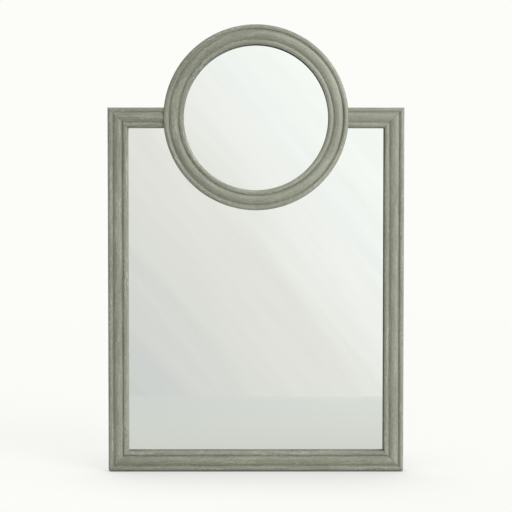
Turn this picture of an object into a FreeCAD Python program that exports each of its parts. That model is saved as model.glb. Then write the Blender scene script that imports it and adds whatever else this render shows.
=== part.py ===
import FreeCAD, Part
import os
import re
import Sketcher

# A painted wood mirror: a tall rectangular frame whose top rail is broken by a round
# frame of the same moulding. Each of the two frames holds its own pane of mirror glass.
#
# The front faces -Y, the back faces +Y, +Z is up and the origin is on the floor, in the
# middle of the mirror's width and depth. Two datums carry all the pieces:
#   the frame datum: bottom edge of the wooden rectangle, on the back plane
#   the ring datum:  centre of the round frame, on the back plane
# Seen from either datum, x runs to the right, z runs up and a level is a height above
# the back plane, towards the front.

doc = FreeCAD.newDocument("ring_top_mirror")

SIZES = [
    ("frame_wide", 914, "outer width of the wooden rectangle"),
    ("frame_tall", 1123.5, "outer height of the wooden rectangle"),
    ("rail_wide", 62, "width of the straight moulding"),
    ("ring_radius", 285, "outer radius of the round frame"),
    ("ring_wide", 62, "width of the round moulding"),
    ("ring_proud", 6, "how far the round frame stands in front of the rails"),
    ("cut_over", 12, "overrun of every cut beyond the wood"),
    # the moulding's face, from its outer edge to the glass
    ("bead_spring", 28, "level where the outer bead springs from the side wall"),
    ("bead_radius", 7.8, "radius of the outer bead"),
    ("shoulder_rise", 4, "shoulder of bead and torus above the bead's spring"),
    ("quirk_wide", 2, "width of each groove between two beads"),
    ("quirk_deep", 1.1, "depth of each groove below the shoulder"),
    ("torus_wide", 27.5, "width of the broad middle torus"),
    ("torus_rise", 6, "height of the middle torus above the shoulder"),
    ("root_drop", 1, "root of the inner bead below the shoulder"),
    ("lip_thick", 10, "thickness of the wood in front of the glass at its edge"),
    # the rabbets behind the face
    ("lip_wide", 8.5, "how far the wood covers the glass"),
    ("ledge_wide", 13.5, "ledge of the rails that the backing board lies on"),
    ("ring_ledge_wide", 14, "ledge inside the round frame for its backing board"),
    ("outer_lip_wide", 12, "wood of the round frame over the large pane"),
    ("outer_ledge_wide", 12, "ledge outside the round frame for the large board"),
    ("board_recess", 3.5, "how deep the backing boards lie below the back plane"),
    ("board_thick", 5, "thickness of the backing boards"),
    ("foam_thick", 2, "thickness of the foam tape behind the glass"),
    ("foam_wide", 10, "width of the foam tape"),
    ("foam_inset", 3, "foam tape from the edge of the glass"),
    ("glass_thick", 4, "thickness of the mirror glass"),
    ("glass_play", 2, "gap around the large pane"),
    ("round_play", 1.5, "gap around the round pane"),
    ("board_play", 1.5, "gap around the backing boards"),
    ("block_long", 60, "length of a setting block under the large pane"),
    ("block_span", 200, "setting blocks from the middle of the large pane"),
    # splines and dowels inside the joints
    ("spline_thick", 4, "thickness of a loose spline"),
    ("mitre_spline_level", 8, "level of the corner splines"),
    ("mitre_spline_long", 30, "length of a corner spline along the mitre"),
    ("mitre_spline_wide", 16, "width of a corner spline across the mitre"),
    ("ring_spline_cover", 2.5, "wood between the round board's ledge and a ring spline"),
    ("ring_spline_inset", 13, "ring spline from the outer edge of the ring"),
    ("ring_spline_long", 28, "length of a ring spline along the radius"),
    ("ring_spline_wide", 30, "width of a ring spline across the joint"),
    ("dowel_radius", 4, "radius of the dowels between rail and ring"),
    ("dowel_level", 20, "level of the dowels above the back plane"),
    ("dowel_deep", 22, "depth of a dowel in the ring and in the rail"),
    ("dowel_inset", 10, "dowels from the two edges of the rail's web"),
    # screws
    ("screw_radius", 1.6, "radius of every screw's shank"),
    ("screw_play", 0.05, "gap around a shank in the wood"),
    ("hole_play", 0.4, "gap around a shank in a board or a plate"),
    ("head_radius", 3.4, "radius of a pan head"),
    ("head_crown", 2.4, "radius of the flat on top of a pan head"),
    ("head_tall", 2, "height of a pan head"),
    ("tip_long", 3, "length of a screw's point"),
    ("board_screw_long", 14, "length of a backing board screw"),
    ("plate_screw_long", 14, "length of a brace or joint plate screw"),
    ("hanger_screw_long", 18, "length of a hanger screw"),
    # plates on the back
    ("plate_thick", 2, "thickness of braces and joint plates"),
    ("plate_wide", 16, "width of braces and joint plates"),
    ("plate_margin", 3, "braces and joint plates from the edges of the rail's web"),
    ("brace_long", 70, "length of each leg of a corner brace"),
    ("brace_hole_near", 26, "first screw of a brace leg from its corner"),
    ("brace_hole_far", 58, "second screw of a brace leg from its corner"),
    ("joint_plate_long", 70, "length of a plate across rail and ring"),
    ("joint_hole_near", 10, "inner screws of a joint plate from the joint"),
    ("joint_hole_far", 28, "outer screws of a joint plate from the joint"),
    # hangers
    ("hanger_drop", 280, "hinge of the hangers below the top of the frame"),
    ("strap_wide", 20, "width of a hanger strap"),
    ("strap_long", 62, "length of a hanger strap below its hinge"),
    ("strap_thick", 1.6, "thickness of a hanger strap"),
    ("strap_hole_first", 10, "first screw of a strap below the hinge"),
    ("strap_hole_step", 21, "distance between the screws of a strap"),
    ("wire_radius", 2, "radius of the hanger ring's wire"),
    ("wire_play", 0.2, "running gap between wire and knuckle"),
    ("arm_play", 1, "gap between the strap's edge and the ring's arm"),
    ("wire_bend", 2.8, "bend radius in the corners of the hanger ring"),
    ("arm_long", 8, "straight arms of the hanger ring below the hinge"),
    # what the mirror stands on and leans against
    ("glide_tall", 3, "thickness of the floor glides"),
    ("glide_radius", 12, "radius of the floor glides"),
    ("glide_inset", 60, "outer glides from the side of the frame"),
    ("glide_step", 240, "inner glides from the outer ones"),
    ("bumper_tall", 10, "thickness of the wall bumpers"),
    ("bumper_radius", 10, "radius of the wall bumpers"),
    ("bumper_inset", 110, "wall bumpers from the corners of the frame"),
]

sheet = doc.addObject("Spreadsheet::Sheet", "Sizes")
for row, (alias, size, words) in enumerate(SIZES, start=1):
    sheet.set(f"A{row}", words)
    sheet.set(f"B{row}", str(size))
    sheet.setAlias(f"B{row}", alias)
doc.recompute()


def cell(text):
    """Writes each size's name in an expression as a reference to its cell."""
    names = {alias for alias, size, words in SIZES}

    def reference(found):
        return f"Sizes.{found[0]}" if found[0] in names else found[0]

    return re.sub("[a-z_]+", reference, text)


def value(text):
    """The present value of an expression, for the first draft of a sketch."""
    return float(sheet.evalExpression(cell(text)))


def bind(thing, prop, text):
    """Ties a property of an object to an expression over the sheet."""
    thing.setExpression(prop, cell(text))


# Levels above the back plane, shared by the pieces that meet there.
BOARD_FRONT = "( board_recess + board_thick )"
GLASS_BACK = f"( {BOARD_FRONT} + foam_thick )"
GLASS_FRONT = f"( {GLASS_BACK} + glass_thick )"
SHOULDER = "( bead_spring + shoulder_rise )"
FULL_DEPTH = f"( {SHOULDER} + torus_rise )"

# Widths measured from the outer edge of the straight moulding.
WEB = "( rail_wide - lip_wide - ledge_wide )"
LIP_START = "( rail_wide - lip_wide )"
LEDGE_MIDDLE = "( rail_wide - lip_wide - ledge_wide / 2 )"
PLATE_MIDDLE = "( plate_margin + plate_wide / 2 )"

# Radii of the round frame, from the glass outwards.
SIGHT_RADIUS = "( ring_radius - ring_wide )"
ROUND_RABBET = f"( {SIGHT_RADIUS} + lip_wide )"
ROUND_LEDGE = f"( {ROUND_RABBET} + ring_ledge_wide )"
OUTER_RABBET = "( ring_radius - outer_lip_wide )"
OUTER_LEDGE = f"( {OUTER_RABBET} - outer_ledge_wide )"
ROUND_SCREW_RADIUS = f"( {ROUND_RABBET} + ring_ledge_wide / 2 )"
OUTER_SCREW_RADIUS = f"( {OUTER_RABBET} - outer_ledge_wide / 2 )"

# The two datums in the part's own frame.
HALF_WIDE = "( frame_wide / 2 )"
RING_RISE = "( frame_tall - rail_wide / 2 )"
BACK_PLANE = f"( ( {FULL_DEPTH} + ring_proud + bumper_tall ) / 2 - bumper_tall )"
FRAME_DATUM = ("0", BACK_PLANE, "glide_tall")
RING_DATUM = ("0", BACK_PLANE, f"( glide_tall + {RING_RISE} )")

# The round frame is glued up from equal segments, centred on these directions.
SEGMENTS = 6
SEGMENT_ANGLE = 360 / SEGMENTS
HALF_SEGMENT = SEGMENT_ANGLE / 2
SEGMENT_NAMES = ["right", "upper_right", "upper_left", "left", "lower_left", "lower_right"]
DOWN_ANGLE = 270
ROUND_BLOCK_ANGLES = (240, 300)
ROUND_BLOCK_SWEEP = 8
OUTER_SCREW_ANGLE = 15
FOAM_HALF_SWEEP = 76


def place(thing, datum, turn=0, about=(0, 1, 0)):
    """Puts an object on a datum, turned about an axis by an angle in degrees."""
    thing.Placement = FreeCAD.Placement(
        FreeCAD.Vector(), FreeCAD.Rotation(FreeCAD.Vector(*about), turn))
    for axis, text in zip("xyz", datum):
        bind(thing, f"Placement.Base.{axis}", text)


def shifted(datum, x="0", level="0", z="0"):
    """A point seen from a datum, as expressions in the part's own frame."""
    return (f"( {datum[0]} + {x} )", f"( {datum[1]} - {level} )", f"( {datum[2]} + {z} )")


def new_body(name, datum, turn=0):
    """Starts an empty body on a datum."""
    body = doc.addObject("PartDesign::Body", name)
    body.Label = name
    place(body, datum, turn)
    return body


def new_sketch(body, name, role, offset="0"):
    """Starts a sketch on one of the body's origin planes, offset along its normal."""
    plane = next(item for item in body.Origin.OriginFeatures if item.Role == role)
    sketch = body.newObject("Sketcher::SketchObject", name)
    sketch.AttachmentSupport = [(plane, "")]
    sketch.MapMode = "FlatFace"
    bind(sketch, "AttachmentOffset.Base.z", offset)
    return sketch


def tie_point(sketch, edge, end, x, y):
    """Holds a point of a sketch at two distances from the sketch's origin."""
    for kind, text in (("DistanceX", x), ("DistanceY", y)):
        index = sketch.addConstraint(Sketcher.Constraint(kind, -1, 1, edge, end, value(text)))
        bind(sketch, f"Constraints[{index}]", text)


def tie_radius(sketch, edge, text):
    """Holds the radius of an arc or a circle of a sketch."""
    index = sketch.addConstraint(Sketcher.Constraint("Radius", edge, value(text)))
    bind(sketch, f"Constraints[{index}]", text)


def draw_outline(sketch, steps):
    """Draws a closed outline. Each step starts at (x, y); a step with a radius and a
    middle point leaves its start on an arc, and any other leaves it on a line."""
    spots = [FreeCAD.Vector(value(step[0]), value(step[1]), 0) for step in steps]
    ends = []
    for index, step in enumerate(steps):
        start = spots[index]
        end = spots[(index + 1) % len(steps)]
        forward = True
        if len(step) > 2:
            middle = FreeCAD.Vector(value(step[3]), value(step[4]), 0)
            # a sketch keeps its arcs counter-clockwise, so a clockwise one is drawn backwards
            forward = (middle - start).cross(end - middle).z > 0
            arc = Part.Arc(start, middle, end) if forward else Part.Arc(end, middle, start)
            sketch.addGeometry(arc, False)
        else:
            sketch.addGeometry(Part.LineSegment(start, end), False)
        ends.append((1, 2) if forward else (2, 1))
    for index in range(len(steps)):
        following = (index + 1) % len(steps)
        sketch.addConstraint(Sketcher.Constraint(
            "Coincident", index, ends[index][1], following, ends[following][0]))
    for index, step in enumerate(steps):
        tie_point(sketch, index, ends[index][0], step[0], step[1])
        if len(step) > 2:
            tie_radius(sketch, index, step[2])


def draw_circle(sketch, x, y, radius):
    """Draws one circle held by its centre and radius."""
    centre = FreeCAD.Vector(value(x), value(y), 0)
    edge = sketch.addGeometry(Part.Circle(centre, FreeCAD.Vector(0, 0, 1), value(radius)), False)
    tie_point(sketch, edge, 3, x, y)
    tie_radius(sketch, edge, radius)


def pad(body, sketch, length, reverse=False, both_ways=False):
    """Grows a sketch into a solid."""
    feature = body.newObject("PartDesign::Pad", f"{sketch.Name}_pad")
    feature.Profile = sketch
    feature.Reversed = reverse
    feature.Midplane = both_ways
    bind(feature, "Length", length)
    return feature


def pocket(body, sketch, length=None, reverse=False, both_ways=False):
    """Cuts a sketch into the body, right through it where no length is given."""
    doc.recompute()
    before = body.Shape.Volume
    feature = body.newObject("PartDesign::Pocket", f"{sketch.Name}_cut")
    feature.Profile = sketch
    feature.Reversed = reverse
    feature.Midplane = both_ways
    if length is None:
        feature.Type = "ThroughAll"
    else:
        bind(feature, "Length", length)
    doc.recompute()
    if body.Shape.Volume >= before:
        raise RuntimeError(f"{feature.Name} removes nothing from {body.Name}")
    return feature


def turned(body, sketch, angle, cut=False):
    """Turns a sketch about its own upright axis, half of the angle to each side."""
    doc.recompute()
    before = body.Shape.Volume if cut else 0
    kind = "PartDesign::Groove" if cut else "PartDesign::Revolution"
    feature = body.newObject(kind, f"{sketch.Name}_turn")
    feature.Profile = sketch
    feature.ReferenceAxis = (sketch, ["V_Axis"])
    feature.Midplane = True
    if isinstance(angle, str):
        bind(feature, "Angle", angle)
    else:
        feature.Angle = angle
    doc.recompute()
    if cut and body.Shape.Volume >= before:
        raise RuntimeError(f"{feature.Name} removes nothing from {body.Name}")
    return feature


def drill(body, name, spots, radius, depth, level="0"):
    """Blind holes into the wood from the back, one at each (x, z), from a level."""
    sketch = new_sketch(body, name, "XZ_Plane", level)
    for x, z in spots:
        draw_circle(sketch, x, z, radius)
    pocket(body, sketch, depth, reverse=True)


# The moulding. Its face runs from the outer bead over a groove, the broad torus and a
# second groove to the inner bead, which turns down to the glass.
BEAD_END = "( bead_radius + sqrt( bead_radius ^ 2 - shoulder_rise ^ 2 ) )"
TORUS_START = f"( {BEAD_END} + quirk_wide )"
TORUS_END = f"( {TORUS_START} + torus_wide )"
ROOT = f"( {TORUS_END} + quirk_wide )"
TORUS_ARC = "( ( torus_wide ^ 2 / 4 + torus_rise ^ 2 ) / ( 2 * torus_rise ) )"


def moulding_steps(width, lift):
    """The face of the moulding from the back of its outer side to the glass, as
    (distance from the outer edge, level), with a radius and a middle for each arc."""
    sight_spring = f"( {GLASS_FRONT} + lip_thick )"
    root_level = f"( {SHOULDER} - root_drop )"
    span = f"( {width} - {ROOT} )"
    fall = f"( {root_level} - {sight_spring} )"
    inner_arc = f"( ( {span} ^ 2 + {fall} ^ 2 ) / ( 2 * {span} ) )"
    # halfway along that arc, seen from its centre over the middle of its chord
    chord_out = f"( {inner_arc} - {span} / 2 )"
    stretch = f"( {inner_arc} / sqrt( {chord_out} ^ 2 + {fall} ^ 2 / 4 ) )"
    groove_floor = f"( {SHOULDER} - quirk_deep )"
    steps = [
        ("0", "0"),
        ("0", "bead_spring", "bead_radius", "bead_radius", "( bead_spring + bead_radius )"),
        (BEAD_END, SHOULDER),
        (BEAD_END, groove_floor),
        (TORUS_START, groove_floor),
        (TORUS_START, SHOULDER, TORUS_ARC, f"( {TORUS_START} + torus_wide / 2 )",
         f"( {SHOULDER} + torus_rise )"),
        (TORUS_END, SHOULDER),
        (TORUS_END, groove_floor),
        (ROOT, groove_floor),
        (ROOT, root_level, inner_arc, f"( {width} - {inner_arc} + {chord_out} * {stretch} )",
         f"( {sight_spring} + {fall} / 2 * {stretch} )"),
        (width, sight_spring),
        (width, GLASS_FRONT),
    ]
    # every level but the back plane rises by the lift
    lifted = [steps[0]]
    for step in steps[1:]:
        raised = [step[0], f"( {step[1]} + {lift} )"]
        if len(step) > 2:
            raised += [step[2], step[3], f"( {step[4]} + {lift} )"]
        lifted.append(tuple(raised))
    return lifted


def laid_out(steps, across, level):
    """Places outline steps in a sketch: two functions turn a distance from the outer
    edge and a level into the sketch's own x and y."""
    placed = []
    for step in steps:
        spot = [across(step[0], step[1]), level(step[0], step[1])]
        if len(step) > 2:
            spot += [step[2], across(step[3], step[4]), level(step[3], step[4])]
        placed.append(tuple(spot))
    return placed


RAIL_SECTION = moulding_steps("rail_wide", "0") + [
    (LIP_START, GLASS_FRONT),
    (LIP_START, BOARD_FRONT),
    (WEB, BOARD_FRONT),
    (WEB, "0"),
]


def corner_spot(side, upper, from_side, from_end):
    """A point near a corner of the rectangle, measured inwards from its two outer edges.
    The side is -1 on the left and 1 on the right, and upper is True at the top."""
    x = f"( {side} * ( {HALF_WIDE} - {from_side} ) )"
    z = f"( frame_tall - {from_end} )" if upper else f"( {from_end} )"
    return x, z


def cut_mitre(body, name, side, upper, cut_stile):
    """Cuts a rail or a stile along the diagonal of a corner."""
    low = "( 0 - cut_over )"
    high = "( rail_wide + cut_over )"
    third = (high, low) if cut_stile else (low, high)
    sketch = new_sketch(body, name, "XZ_Plane")
    draw_outline(sketch, [
        corner_spot(side, upper, low, low),
        corner_spot(side, upper, *third),
        corner_spot(side, upper, high, high),
    ])
    pocket(body, sketch, reverse=True)


def mitre_spline_outline(side, upper):
    """The spline's rectangle across a corner's diagonal, in the middle of the web."""
    middle = f"( {WEB} / 2 )"
    half_sum = "( ( mitre_spline_long + mitre_spline_wide ) / 2 * cos( 45 ) )"
    half_rest = "( ( mitre_spline_long - mitre_spline_wide ) / 2 * cos( 45 ) )"
    corners = [
        (f"( {middle} + {half_sum} )", f"( {middle} + {half_rest} )"),
        (f"( {middle} + {half_rest} )", f"( {middle} + {half_sum} )"),
        (f"( {middle} - {half_sum} )", f"( {middle} - {half_rest} )"),
        (f"( {middle} - {half_rest} )", f"( {middle} - {half_sum} )"),
    ]
    return [corner_spot(side, upper, *corner) for corner in corners]


def cut_mitre_slot(body, name, side, upper):
    """Cuts the slot for a corner's spline."""
    sketch = new_sketch(body, name, "XZ_Plane", "mitre_spline_level")
    draw_outline(sketch, mitre_spline_outline(side, upper))
    pocket(body, sketch, "spline_thick", reverse=True)


def brace_holes(side, upper, along_side):
    """The two screws of one leg of a corner brace."""
    spots = []
    for distance in ("brace_hole_near", "brace_hole_far"):
        along = f"( plate_margin + {distance} )"
        pair = (PLATE_MIDDLE, along) if along_side else (along, PLATE_MIDDLE)
        spots.append(corner_spot(side, upper, *pair))
    return spots


PILOT = "( screw_radius + screw_play )"
BOARD_BITE = "( board_screw_long - board_thick )"
PLATE_BITE = "( plate_screw_long - plate_thick )"
HANGER_BITE = "( hanger_screw_long - strap_thick )"
STRAP_SIDE = f"( {WEB} / 2 )"
STRAP_HOLES = [f"( 0 - strap_hole_first - {index} * strap_hole_step )" for index in range(3)]

# Places of the backing board's screws along each rail, as shares of its length.
STILE_SCREW_SHARES = (0.2, 0.5, 0.8)
BOTTOM_SCREW_SHARES = (0.25, 0.5, 0.75)
HINGE_HEIGHT = "( frame_tall - hanger_drop )"


def stile_board_screws(side):
    """The board's screws in one stile."""
    x = f"( {side} * ( {HALF_WIDE} - {LEDGE_MIDDLE} ) )"
    return [(x, f"( frame_tall * {share} )") for share in STILE_SCREW_SHARES]


def bottom_board_screws():
    """The board's screws in the bottom rail."""
    return [(f"( frame_wide * {share} - {HALF_WIDE} )", LEDGE_MIDDLE)
            for share in BOTTOM_SCREW_SHARES]


def top_board_screws(side):
    """The board's screw in one short rail, halfway between corner and ring."""
    x = f"( {side} * ( {HALF_WIDE} + ring_radius ) / 2 )"
    return [(x, f"( frame_tall - {LEDGE_MIDDLE} )")]


def make_stile(name, side):
    """An upright of the frame, mitred at both ends."""
    body = new_body(name, FRAME_DATUM)
    section = new_sketch(body, f"{name}_section", "XY_Plane")
    draw_outline(section, laid_out(
        RAIL_SECTION,
        lambda across, level: f"( {side} * ( {HALF_WIDE} - {across} ) )",
        lambda across, level: f"( 0 - {level} )"))
    pad(body, section, "frame_tall")
    for upper, end in ((False, "low"), (True, "high")):
        cut_mitre(body, f"{name}_mitre_{end}", side, upper, cut_stile=True)
        cut_mitre_slot(body, f"{name}_slot_{end}", side, upper)
    drill(body, f"{name}_board_pilots", stile_board_screws(side), PILOT, BOARD_BITE, BOARD_FRONT)
    drill(body, f"{name}_brace_pilots",
          brace_holes(side, False, True) + brace_holes(side, True, True), PILOT, PLATE_BITE)
    hanger_x = f"( {side} * ( {HALF_WIDE} - {STRAP_SIDE} ) )"
    hanger_spots = [(hanger_x, f"( {HINGE_HEIGHT} + {hole} )") for hole in STRAP_HOLES]
    drill(body, f"{name}_hanger_pilots", hanger_spots, PILOT, HANGER_BITE)
    return body


def draw_rail_section(body, name, upper, start):
    """The section of a level rail, on an upright plane at a distance along X."""
    section = new_sketch(body, f"{name}_section", "YZ_Plane", start)
    height = "( frame_tall - {} )" if upper else "( {} )"
    draw_outline(section, laid_out(
        RAIL_SECTION,
        lambda across, level: f"( 0 - {level} )",
        lambda across, level: height.format(across)))
    return section


def make_bottom_rail():
    """The level rail at the bottom, mitred at both ends."""
    name = "bottom_rail"
    body = new_body(name, FRAME_DATUM)
    section = draw_rail_section(body, name, False, f"( 0 - {HALF_WIDE} )")
    pad(body, section, "frame_wide")
    for side, end in ((-1, "left"), (1, "right")):
        cut_mitre(body, f"{name}_mitre_{end}", side, False, cut_stile=False)
        cut_mitre_slot(body, f"{name}_slot_{end}", side, False)
    drill(body, f"{name}_board_pilots", bottom_board_screws(), PILOT, BOARD_BITE, BOARD_FRONT)
    drill(body, f"{name}_brace_pilots",
          brace_holes(-1, False, False) + brace_holes(1, False, False), PILOT, PLATE_BITE)
    return body


# Heights above the ring's centre, which lies on the centre line of the short rails: the
# dowels near both edges of the web, and the joint plates along its lower edge.
DOWEL_HEIGHTS = ("( rail_wide / 2 - dowel_inset )", f"( rail_wide / 2 - {WEB} + dowel_inset )")
JOINT_PLATE_RISE = f"( rail_wide / 2 - {WEB} + {PLATE_MIDDLE} )"


def joint_plate_holes(side):
    """Screws of the plate behind a rail and the ring, seen from the ring datum: two in
    the ring and two in the rail."""
    in_ring = ("( 0 - joint_hole_far )", "( 0 - joint_hole_near )")
    in_rail = ("joint_hole_near", "joint_hole_far")
    return [(f"( {side} * ( ring_radius + {offset} ) )", JOINT_PLATE_RISE)
            for offset in in_ring + in_rail]


def make_top_rail(name, side):
    """A short rail from a top corner to the round frame, coped to the ring's side."""
    body = new_body(name, FRAME_DATUM)
    reach = f"( {HALF_WIDE} - ring_radius + cut_over )"
    start = f"( 0 - {HALF_WIDE} )" if side < 0 else f"( {HALF_WIDE} - {reach} )"
    section = draw_rail_section(body, name, True, start)
    pad(body, section, reach)
    cut_mitre(body, f"{name}_mitre", side, True, cut_stile=False)
    cut_mitre_slot(body, f"{name}_slot", side, True)
    cope = new_sketch(body, f"{name}_cope", "XZ_Plane")
    draw_circle(cope, "0", RING_RISE, "ring_radius")
    pocket(body, cope, reverse=True)
    # the dowel holes start inside the coped end and run towards the corner
    inside = f"( {side} * ( ring_radius - cut_over ) )"
    holes = new_sketch(body, f"{name}_dowel_holes", "YZ_Plane", inside)
    for height in DOWEL_HEIGHTS:
        draw_circle(holes, "( 0 - dowel_level )", f"( {RING_RISE} + {height} )", "dowel_radius")
    pocket(body, holes, "( cut_over + dowel_deep )", reverse=side > 0)
    drill(body, f"{name}_board_pilots", top_board_screws(side), PILOT, BOARD_BITE, BOARD_FRONT)
    plate_spots = [(x, f"( {RING_RISE} + {z} )") for x, z in joint_plate_holes(side)[2:]]
    drill(body, f"{name}_plate_pilots", plate_spots, PILOT, PLATE_BITE)
    drill(body, f"{name}_brace_pilots", brace_holes(side, True, False), PILOT, PLATE_BITE)
    return body


RING_SECTION = moulding_steps("ring_wide", "ring_proud") + [
    ("( ring_wide - lip_wide )", f"( {GLASS_FRONT} + ring_proud )"),
    ("( ring_wide - lip_wide )", f"( {BOARD_FRONT} + ring_proud )"),
    ("( ring_wide - lip_wide - ring_ledge_wide )", f"( {BOARD_FRONT} + ring_proud )"),
    ("( ring_wide - lip_wide - ring_ledge_wide )", "0"),
]
RING_SPLINE_LEVEL = f"( {BOARD_FRONT} + ring_proud + ring_spline_cover )"
# The rails' web ends a little below the ring's centre. From that angle on round the
# bottom, the ring is rebated outside for the large pane and its board.
WEB_END_ANGLE = f"( asin( ( {WEB} - rail_wide / 2 ) / ring_radius ) / 1 deg )"
GROOVE_OVER_ANGLE = 1


def ring_spline_outline(angle):
    """The spline's rectangle across a joint of the ring, in a direction in degrees."""
    outer = "( ring_radius - ring_spline_inset )"
    inner = f"( {outer} - ring_spline_long )"
    half = "( ring_spline_wide / 2 )"
    corners = [(inner, f"( 0 - {half} )"), (outer, f"( 0 - {half} )"), (outer, half), (inner, half)]
    return [(f"( {radial} * cos( {angle} ) - {across} * sin( {angle} ) )",
             f"( {radial} * sin( {angle} ) + {across} * cos( {angle} ) )")
            for radial, across in corners]


def cut_outer_rebate(body, name, middle_turn, sweep):
    """Rebates the outside of a ring segment, over a sweep about a middle direction."""
    over = "( ring_radius + cut_over )"
    sketch = new_sketch(body, name, "XY_Plane")
    # a positive turn about the sketch's upright axis leans towards -Z
    axis = FreeCAD.Vector(0, -1, 0)
    sketch.AttachmentOffset = FreeCAD.Placement(FreeCAD.Vector(), FreeCAD.Rotation(axis, 1))
    bind(sketch, "AttachmentOffset.Rotation.Angle", middle_turn)
    draw_outline(sketch, [
        (over, "cut_over"),
        (over, f"( 0 - {GLASS_FRONT} )"),
        (OUTER_RABBET, f"( 0 - {GLASS_FRONT} )"),
        (OUTER_RABBET, f"( 0 - {BOARD_FRONT} )"),
        (OUTER_LEDGE, f"( 0 - {BOARD_FRONT} )"),
        (OUTER_LEDGE, "cut_over"),
    ])
    turned(body, sketch, sweep, cut=True)


def make_ring_segment(index):
    """One segment of the round frame, drawn pointing along +X and turned into place."""
    direction = index * SEGMENT_ANGLE
    name = f"ring_segment_{SEGMENT_NAMES[index]}"
    body = new_body(name, RING_DATUM, turn=-direction)
    section = new_sketch(body, f"{name}_section", "XY_Plane")
    draw_outline(section, laid_out(
        RING_SECTION,
        lambda across, level: f"( ring_radius - {across} )",
        lambda across, level: f"( 0 - {level} )"))
    turned(body, section, SEGMENT_ANGLE)
    for end, word in ((-1, "low"), (1, "high")):
        slot = new_sketch(body, f"{name}_slot_{word}", "XZ_Plane", RING_SPLINE_LEVEL)
        draw_outline(slot, ring_spline_outline(f"{end * HALF_SEGMENT}"))
        pocket(body, slot, "spline_thick", reverse=True)
    drill(body, f"{name}_board_pilot", [(ROUND_SCREW_RADIUS, "0")], PILOT, BOARD_BITE,
          f"( {BOARD_FRONT} + ring_proud )")
    if direction % 180 == 0:
        # a side segment: dowels and a joint plate above the centre line, a rebate below
        side = 1 if direction == 0 else -1
        sweep = f"( {HALF_SEGMENT + GROOVE_OVER_ANGLE} - {WEB_END_ANGLE} )"
        middle = f"( {-side} * ( {WEB_END_ANGLE} + {sweep} / 2 ) )"
        cut_outer_rebate(body, f"{name}_rebate", middle, sweep)
        holes = new_sketch(body, f"{name}_dowel_holes", "YZ_Plane", "( ring_radius + cut_over )")
        for height in DOWEL_HEIGHTS:
            draw_circle(holes, "( 0 - dowel_level )", f"( {side} * {height} )", "dowel_radius")
        pocket(body, holes, "( cut_over + dowel_deep )")
        plate_spots = [(x, f"( {side} * {z} )") for x, z in joint_plate_holes(1)[:2]]
        drill(body, f"{name}_plate_pilots", plate_spots, PILOT, PLATE_BITE)
    elif direction > 180:
        cut_outer_rebate(body, f"{name}_rebate", "0", f"{SEGMENT_ANGLE + 2 * GROOVE_OVER_ANGLE}")
        spots = []
        for angle in (-OUTER_SCREW_ANGLE, OUTER_SCREW_ANGLE):
            spots.append((f"( {OUTER_SCREW_RADIUS} * cos( {angle} ) )",
                          f"( {OUTER_SCREW_RADIUS} * sin( {angle} ) )"))
        drill(body, f"{name}_outer_pilots", spots, PILOT, BOARD_BITE, BOARD_FRONT)
    return body


def group(name, things):
    """Several solids of one kind in one node."""
    compound = doc.addObject("Part::Compound", name)
    compound.Label = name
    compound.Links = things
    return compound


def make_slab(name, datum, level, thick, outline=None, radius=None):
    """A flat piece parallel to the back plane, between a level and its thickness."""
    body = new_body(name, datum)
    sketch = new_sketch(body, f"{name}_outline", "XZ_Plane", level)
    if outline is None:
        draw_circle(sketch, "0", "0", radius)
    else:
        draw_outline(sketch, outline)
    pad(body, sketch, thick)
    return body


def make_plate(name, datum, outline, spots):
    """A steel plate on the back plane, with a hole for each screw."""
    body = new_body(name, datum)
    sketch = new_sketch(body, f"{name}_outline", "XZ_Plane")
    draw_outline(sketch, outline)
    pad(body, sketch, "plate_thick", reverse=True)
    holes = new_sketch(body, f"{name}_holes", "XZ_Plane")
    for x, z in spots:
        draw_circle(holes, x, z, "( screw_radius + hole_play )")
    pocket(body, holes)
    return body


def make_splines():
    """Loose splines in the four mitres and in the joints of the ring."""
    corners = [(-1, False), (1, False), (1, True), (-1, True)]
    mitre = [make_slab(f"mitre_spline_{index}", FRAME_DATUM, "mitre_spline_level", "spline_thick",
                       outline=mitre_spline_outline(*corner))
             for index, corner in enumerate(corners, start=1)]
    ring = [make_slab(f"ring_spline_{index}", RING_DATUM, RING_SPLINE_LEVEL, "spline_thick",
                      outline=ring_spline_outline(f"{index * SEGMENT_ANGLE + HALF_SEGMENT}"))
            for index in range(SEGMENTS)]
    return [group("mitre_splines", mitre), group("ring_splines", ring)]


def make_dowels():
    """Two dowels on each side, half in the ring and half in the rail."""
    dowels = []
    for side, word in ((-1, "left"), (1, "right")):
        for index, height in enumerate(DOWEL_HEIGHTS, start=1):
            dowel = doc.addObject("Part::Cylinder", f"dowel_{word}_{index}")
            bind(dowel, "Radius", "dowel_radius")
            bind(dowel, "Height", "( 2 * dowel_deep )")
            start = f"( {side} * ring_radius - dowel_deep )"
            place(dowel, shifted(RING_DATUM, start, "dowel_level", height), turn=90)
            dowels.append(dowel)
    return group("ring_dowels", dowels)


def ring_bite(body, name, radius):
    """Cuts the round bite for the ring out of a piece of the frame."""
    sketch = new_sketch(body, name, "XZ_Plane")
    draw_circle(sketch, "0", RING_RISE, radius)
    pocket(body, sketch, reverse=True)


def inset_rectangle(inset):
    """A rectangle inside the frame, at a distance from its outer edges."""
    corners = [(-1, False), (1, False), (1, True), (-1, True)]
    return [corner_spot(side, upper, inset, inset) for side, upper in corners]


GLASS_INSET = f"( {LIP_START} + glass_play )"
BITE_RADIUS = f"( {OUTER_RABBET} + glass_play )"
ROUND_GLASS_RADIUS = f"( {ROUND_RABBET} - round_play )"


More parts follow.
